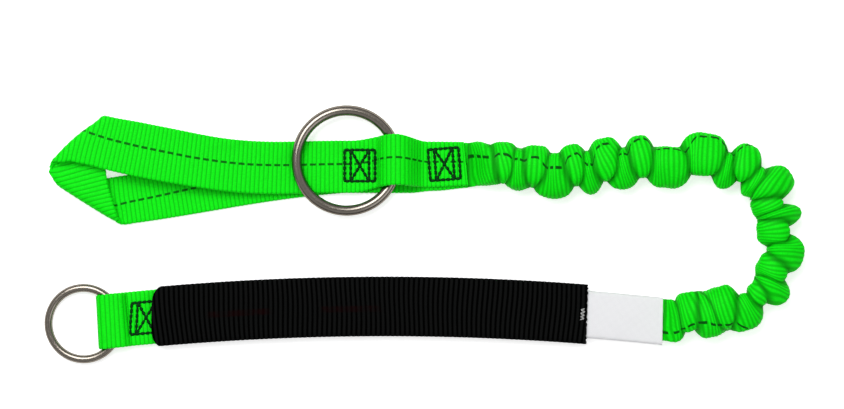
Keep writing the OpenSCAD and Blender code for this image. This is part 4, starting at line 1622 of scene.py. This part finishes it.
            h = mix(1.0, w / self.hw, self.height_follow) * h
            square = self.eased(s, length, self.start_square, 1.0, self.end_square)
            off = (angle - np.radians(self.tracer(s))) * self.tracer_r
            # The third value sets how much painted crease shade the ruched finish puts on each point.
            return self.place(s, w, h, angle, square), np.stack([web, off], axis=1), full

        return skin(name, rows, self.columns, place)

    def core(self, name: str, start: float, stop: float) -> bpy.types.Mesh:
        """Makes a run of the elastic strip inside the cover."""
        length = self.route()[0][-1]

        def place(along: Array, around: Array) -> tuple[Array, Array]:
            """Points and weave coordinates of the strip."""
            s = mix(start, stop, along)
            angle = 2.0 * math.pi * around - math.pi / 2.0
            h = self.eased(s, length, self.core_start_hh, self.core_hh, self.core_end_hh)
            half, square = np.full_like(s, self.core_half), np.full_like(s, self.core_square)
            return self.place(s, half, h, angle, square), np.stack([s, angle], axis=1)

        return skin(name, self.core_rows, self.core_columns, place)

    def build(self, finishes: Finishes) -> None:
        """Adds the run's pieces, as two runs: the stretch and the bend."""
        length = self.route()[0][-1]
        split = 1 + 2 * self.split
        count = len(self.folds(length))
        middle = (OUTER[self.split].at + INNER[self.split].at) / 2.0
        y, z = ROUTE[0][1] * MM, self.end_z * MM
        stretch = ((self.stretch_from * MM, y, z), (self.stretch_to * MM, y, z))
        bend = tuple((self.bend_x * MM, end * MM, z) for end in (self.bend_from, self.bend_to))
        last = length - self.core_short
        runs = (
            ("stretch", (0, split), (self.core_from, middle), Body.SEWN_LEG, Body.BEND, stretch),
            ("bend", (split, count), (middle, last), Body.BEND, Body.SLEEVED_LEG, bend),
        )
        for part, folds, span, near, far, (start, end) in runs:
            cover = self.cover(f"ruched_{part}", *folds)
            core = self.core(f"elastic_{part}", *span)
            for obj in (
                add_piece(cover, finishes.ruched, f"{part}_cover"),
                add_piece(core, finishes.latex, f"{part}_core"),
            ):
                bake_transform(obj)


@dataclass(frozen=True)
class SleevedLeg:
    """Label, wear sleeve and the sewn end with its small ring, on one wide arc."""

    record: Record
    section: WebSection = field(default_factory=lambda: WebSection(width=26.2))
    box: SewnBox = field(default_factory=SewnBox)
    ring: Ring = field(
        default_factory=lambda: Ring("welded_ring_small", "end_ring", Body.SMALL_RING, 30.8, 3.8, steps=150)
    )
    # Arc of the leg.
    arc_r: float = 1250.0
    arc_x: float = -19.6
    arc_y: float = -1285.0
    leg_z: float = 4.75
    # Wear sleeve.
    sleeve_u0: float = -112.6
    sleeve_u1: float = 97.4
    sleeve_w: float = 28.8
    sleeve_h: float = 9.5
    sleeve_wall: float = 0.9
    sleeve_corner: float = 2.6
    sleeve_crown: float = 0.45
    sleeve_drop: float = 0.2
    sleeve_sag: float = 0.25
    sleeve_rib: float = 2.35
    sleeve_rib_depth: float = 0.14
    sleeve_rib_level: float = 0.6
    sleeve_wave: float = 0.35
    sleeve_columns: int = 112
    rows_per_rib: int = 8
    rim_rows: int = 4
    inner_rows: int = 60
    rim: float = 0.3
    fray: float = 0.4
    mouth_round: float = 3.4
    mouth_slant: float = 0.09
    hem_slant: float = -0.045
    # Label.
    label_u0: float = 93.8
    label_u1: float = 134.4
    label_w: float = 22.9
    label_h: float = 6.7
    label_slant: float = -0.09
    label_corner: float = 1.6
    label_crown: float = 0.35
    label_wave: float = 0.08
    label_hem: float = 0.12
    label_hem_l: float = 1.6
    label_hem_soft: float = 0.4
    label_rows: int = 120
    label_columns: int = 96
    # Pale tack.
    tack_stitches: int = 7
    tack_size: tuple = (2.2, 0.7, 0.8)
    tack_turn: float = 0.35
    tack_pitch: float = 0.8
    tack_stagger: float = 0.1
    tack_in: float = 2.0
    tack_up: float = 0.25
    # Sewn end and its pocket.
    box_u: float = -115.8
    box_lean: float = 0.15
    pocket_u1: float = -124.2
    end_u1: float = -104.0
    tail_more: float = 2.0
    end_low: float = 2.55
    end_top: float = 4.65
    crown_u: float = -129.107
    pocket_r: float = 3.65
    pocket_z: float = 4.65
    nose_u: float = -134.9
    flex_top: float = 60.0
    flex_low: float = 30.0
    flex_fillet: float = 1.2
    flex_from: float = -124.4
    flex_to: float = -129.5
    pocket_lean: float = 0.045
    lean_l: float = 8.0

    def on_arc(self, u: Array, across: Array, z: Array) -> Array:
        """Points at distances along the arc, offsets outwards and heights."""
        turn = np.asarray(u) / self.arc_r
        far = self.arc_r + across
        return np.column_stack([self.arc_x + far * np.sin(turn), self.arc_y + far * np.cos(turn), z])

    def frame(self, u: float) -> Matrix:
        """Place on the arc, with X along the leg."""
        p = self.on_arc(np.array([u]), np.zeros(1), np.zeros(1))[0]
        return Matrix.Translation(p) @ Matrix.Rotation(-u / self.arc_r, 4, "Z")

    def box_frame(self) -> Matrix:
        """Place of the sewn box's middle, leaning along the leg."""
        lean = Matrix.Identity(4)
        lean[0][1] = self.box_lean
        return self.frame(self.box_u) @ lean

    def slab(self, around: Array, width: float, high: float, corner: float) -> tuple[Array, Array, Array]:
        """Section with round corners, from the middle of its lower face.

        Args:
            around: Share of the way round.
            width: Its width.
            high: Its height.
            corner: Radius of its corners.

        Returns:
            Offset across, height from the middle, and distance round from the top.
        """
        flat, wall = width / 2.0 - corner, high / 2.0 - corner
        arc = math.pi / 2.0 * corner
        lengths = np.cumsum([0.0, flat, arc, 2.0 * wall, arc, flat])
        stops = [0.0, 0.19, 0.27, 0.33, 0.41, 0.5]
        side = np.where(around < 0.5, 1.0, -1.0)
        share = np.minimum(around, 1.0 - around)
        p = np.interp(share, stops, lengths)
        low = np.clip((p - lengths[1]) / corner, 0.0, math.pi / 2.0)
        top = np.clip((p - lengths[3]) / corner, 0.0, math.pi / 2.0)
        turn = low + top
        rise = np.clip(p - lengths[2], 0.0, 2.0 * wall)
        back = np.maximum(p - lengths[4], 0.0)
        across = np.minimum(p, flat) + corner * np.sin(turn) - back
        z = -high / 2.0 + corner * (1.0 - np.cos(turn)) + rise
        return side * across, z, side * (lengths[5] - p)

    def label(self) -> bpy.types.Mesh:
        """Makes the plain label that wraps the leg."""

        def place(along: Array, around: Array) -> tuple[Array, Array]:
            """Points and weave coordinates of the label."""
            across, z, girth = self.slab(around, self.label_w, self.label_h, self.label_corner)
            u = mix(self.label_u0, self.label_u1 + self.label_slant * across, along)
            crown = self.label_crown * (1.0 - (across / (self.label_w / 2.0)) ** 2) * np.sign(z)
            wave = np.sin(0.33 * u + 0.2 * across) * np.sin(0.5 * across + 0.11 * u)
            wave = self.label_wave * wave
            hem = smooth((u - self.label_u1 + self.label_hem_l) / self.label_hem_soft)
            hem = self.label_hem * hem
            high = z + (crown + wave + hem) * (np.abs(z) > 0.5)
            return self.on_arc(u, across, self.leg_z + high), np.stack([u, girth], axis=1)

        return skin("plain_label", self.label_rows, self.label_columns, place)

    def sleeve(self) -> bpy.types.Mesh:
        """Makes the wear sleeve, a ribbed tube with two open mouths."""
        rows = round((self.sleeve_u1 - self.sleeve_u0) / self.sleeve_rib) * self.rows_per_rib
        counts = np.cumsum([0, rows, self.rim_rows, self.inner_rows, self.rim_rows])
        total = int(counts[-1])
        stops = counts / total

        def place(along: Array, around: Array) -> tuple[Array, Array]:
            """Points and weave coordinates: outside, one mouth, inside, the other mouth."""
            share = np.interp(along, stops, [0.0, 1.0, 1.0, 0.0, 0.0])
            deep = np.interp(along, stops, [0.0, 0.0, 1.0, 1.0, 0.0])
            wall = self.sleeve_wall * deep
            across, z, girth = self.slab(around, self.sleeve_w, self.sleeve_h, self.sleeve_corner)
            side = across / (self.sleeve_w / 2.0)
            left = self.sleeve_u0 + self.mouth_round * np.abs(side) ** 5 + self.mouth_slant * across
            fray = self.fray * np.sin(2.3 * girth) * np.sin(5.1 * girth + 1.0)
            right = self.sleeve_u1 + self.hem_slant * across + fray
            u = mix(left, right, share)
            wavy = u + self.sleeve_wave * np.sin(0.16 * across + 0.05 * u)
            rib = np.abs(np.sin(math.pi * wavy / self.sleeve_rib)) - self.sleeve_rib_level
            rib = self.sleeve_rib_depth * rib * (1.0 - deep)
            rim = np.sin(math.pi * np.clip(deep, 0.0, 1.0)) * self.rim
            u = u + rim * np.where(share > 0.5, 1.0, -1.0)
            sag = self.sleeve_sag * np.sin(0.045 * u + 0.8) * np.sin(0.12 * across + 0.02 * u)
            crown = self.sleeve_crown * (1.0 - side**2) - self.sleeve_drop
            out_z = np.clip(z / (self.sleeve_h / 2.0 - 1.0), -1.0, 1.0)
            out_a = np.clip(side * 1.15, -1.0, 1.0) ** 9
            high = z + (rib - wall) * out_z + np.maximum(out_z, 0.0) * (crown + sag)
            points = self.on_arc(u, across + (rib - wall) * out_a, self.leg_z + high)
            return points, np.stack([wavy, girth], axis=1)

        return skin("wear_sleeve_web", total, self.sleeve_columns, place, Ends.LOOPED)

    def ply(self, name: str, stop: float, z: float) -> bpy.types.Mesh:
        """Makes one of the two sewn plies at the end.

        Args:
            name: Name of the mesh.
            stop: Where it ends inside the sleeve.
            z: Its middle height.

        Returns:
            The mesh.
        """

        def carrier(u: Array, across: Array, high: Array) -> Array:
            """Points of the ply."""
            return self.on_arc(u, across, z + high)

        def dip(points: Array) -> Array:
            """Dents that the box pulls into the upper ply."""
            return self.box.dip(self.box_frame(), points)

        dents = dip if z == self.end_top else None
        return self.section.strip(name, self.pocket_u1, stop, carrier, steady(NO_TRACER), dents)

    def pocket_path(self) -> SideLine:
        """Middle line of the pocket from its upper end round the wire.

        Returns:
            Distances along it, positions along the leg, heights, and slopes.
        """
        r, f = self.pocket_r, self.flex_fillet
        top, low = math.radians(self.flex_top), math.radians(self.flex_low)
        rise = self.end_low - self.pocket_z + r * math.cos(low) - f * (1.0 - math.cos(low))
        low_u = self.crown_u + r * math.sin(low) + rise / math.tan(low) + f * math.sin(low)
        a = np.linspace(0.0, top, 24)
        b = np.linspace(0.0, math.pi, 80)
        c = np.linspace(0.0, low, 24)
        u = np.concatenate([
            self.pocket_u1 - f * np.sin(a),
            self.crown_u + r * np.sin(a[::-1]),
            self.nose_u - r * np.sin(b),
            self.crown_u + r * np.sin(c),
            low_u - f * np.sin(c[::-1]),
            [self.pocket_u1],
        ])
        z = np.concatenate([
            self.end_top + f * (1.0 - np.cos(a)),
            self.pocket_z + r * np.cos(a[::-1]),
            self.pocket_z + r * np.cos(b),
            self.pocket_z - r * np.cos(c),
            self.end_low - f * (1.0 - np.cos(c[::-1])),
            [self.end_low],
        ])
        turn = np.concatenate([-a, -a[::-1], b, math.pi + c, math.pi + c[::-1], [math.pi]])
        return side_line(u, z, turn)

    def pocket(self) -> bpy.types.Mesh:
        """Makes the folded pocket round the small ring."""
        run, us, zs, turns = self.pocket_path()
        frame = np.array(self.frame(self.pocket_u1))

        def carrier(u: Array, across: Array, high: Array) -> Array:
            """Points of the pocket, which leans along the leg away from its ends."""
            s = self.pocket_u1 - u
            at, z, turn = (np.interp(s, run, c) for c in (us, zs, turns))
            lean = smooth(s / self.lean_l) * smooth((run[-1] - s) / self.lean_l)
            lean = self.pocket_lean * across * lean
            x = at - self.pocket_u1 - high * np.sin(turn) + lean
            local = np.column_stack([x, across, z + high * np.cos(turn), np.ones(len(s))])
            return (local @ frame.T)[:, :3]

        stop = self.pocket_u1 - run[-1]
        return self.section.strip("ring_pocket", self.pocket_u1, stop, carrier, steady(NO_TRACER))

    def tack(self) -> bpy.types.Mesh:
        """Makes the pale tack at the sleeve's label end."""
        bm = bmesh.new()
        frame = self.frame(self.sleeve_u1 - self.tack_in)
        first = -self.tack_pitch * (self.tack_stitches - 1) / 2.0
        for i in range(self.tack_stitches):
            turn = Matrix.Rotation(self.tack_turn * (-1.0) ** i, 4, "Z")
            spot = (self.tack_stagger * (i % 3), first + self.tack_pitch * i, self.sleeve_h + self.tack_up)
            add_stitch(bm, frame @ Matrix.Translation(spot) @ turn, *self.tack_size)
        return to_mesh(bm, "pale_tack")

    def build(self, finishes: Finishes) -> None:
        """Adds the leg's pieces to the scene."""
        top = self.end_top + self.section.thick / 2.0
        bottom = self.end_low - self.section.thick / 2.0
        stitches = self.box.stitches("sewn_box_end", self.box_frame(), top, bottom)
        low_ply = self.ply("end_ply_low", self.end_u1, self.end_low)
        top_ply = self.ply("end_ply_top", self.end_u1 - self.tail_more, self.end_top)
        pieces = (
            (self.label(), Slot.LABEL, finishes.label, "label"),
            (self.sleeve(), Slot.SLEEVE, finishes.sleeve, "wear_sleeve"),
            (self.tack(), Slot.PALE_THREAD, finishes.pale_thread, "sleeve_tack"),
            (low_ply, Slot.WEB, finishes.web, "end_web"),
            (top_ply, Slot.WEB, finishes.web, "end_tail"),
            (stitches, Slot.THREAD, finishes.thread, "box_stitch_c"),
        )
        for mesh, slot, finish, node in pieces:
            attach(add_piece(mesh, finish, node), Body.SLEEVED_LEG.value)
        pocket = add_piece(self.pocket(), finishes.web, "end_loop")
        start, end = (
            tuple(self.on_arc(np.array([u]), np.zeros(1), np.array([self.pocket_z]))[0] * MM)
            for u in (self.flex_from, self.flex_to)
        )
        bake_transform(pocket)
        eye = self.record.mount("end_ring_eye")
        tilt = math.asin((self.pocket_z - eye[2]) * 2.0 / (self.ring.eye + self.ring.wire))
        crown = Matrix.Translation((self.crown_u - self.pocket_u1, 0.0, self.pocket_z))
        self.ring.build(self.frame(self.pocket_u1) @ crown @ Matrix.Rotation(-tilt, 4, "Y"), finishes.wire)


@dataclass(frozen=True)
class HiddenCore:
    """Pieces inside the cover, the label and the sleeve."""

    stitches: int = 5
    thread: float = 0.9
    high: float = 1.4
    lap: float = 1.1

    def tack(self, finishes: Finishes) -> None:
        """Adds the tack that anchors the elastic under the cover's first fold."""
        low, up = node_box("core_tack_a")
        middle = (low + up) / 2.0
        bm = bmesh.new()
        wide = (up[1] - low[1]) / self.stitches * self.lap
        for i in range(self.stitches):
            across = mix(low[1], up[1], (i + 0.5) / self.stitches)
            place = Matrix.Translation((middle[0], across, low[2] + self.high))
            add_stitch(bm, place, self.thread, wide, self.high)
        mesh = to_mesh(bm, "core_bar_tack")
        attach(add_piece(mesh, finishes.thread, "core_tack_a"), Body.SEWN_LEG.value)

    def build(self, frame: dict, finishes: Finishes) -> None:
        """Dresses the nodes."""
        self.tack(finishes)
        for node in ("core_tack_b", "tear_stitches"):
            dress_node(frame, node, finishes.thread)
        dress_node(frame, "core_end", finishes.latex)
        dress_node(frame, "pack_web", finishes.pack)


def main() -> None:
    """Loads the frame and builds the lanyard round it."""
    logging.basicConfig(level=logging.INFO, format="%(name)s: %(message)s")
    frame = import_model()
    record = Record(frame["record"])
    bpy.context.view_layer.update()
    Studio().build()
    finishes = Finishes.make()
    SewnLeg(record).build(finishes)
    Bungee().build(finishes)
    SleevedLeg(record).build(finishes)
    HiddenCore().build(frame, finishes)


if __name__ == "__main__":
    main()
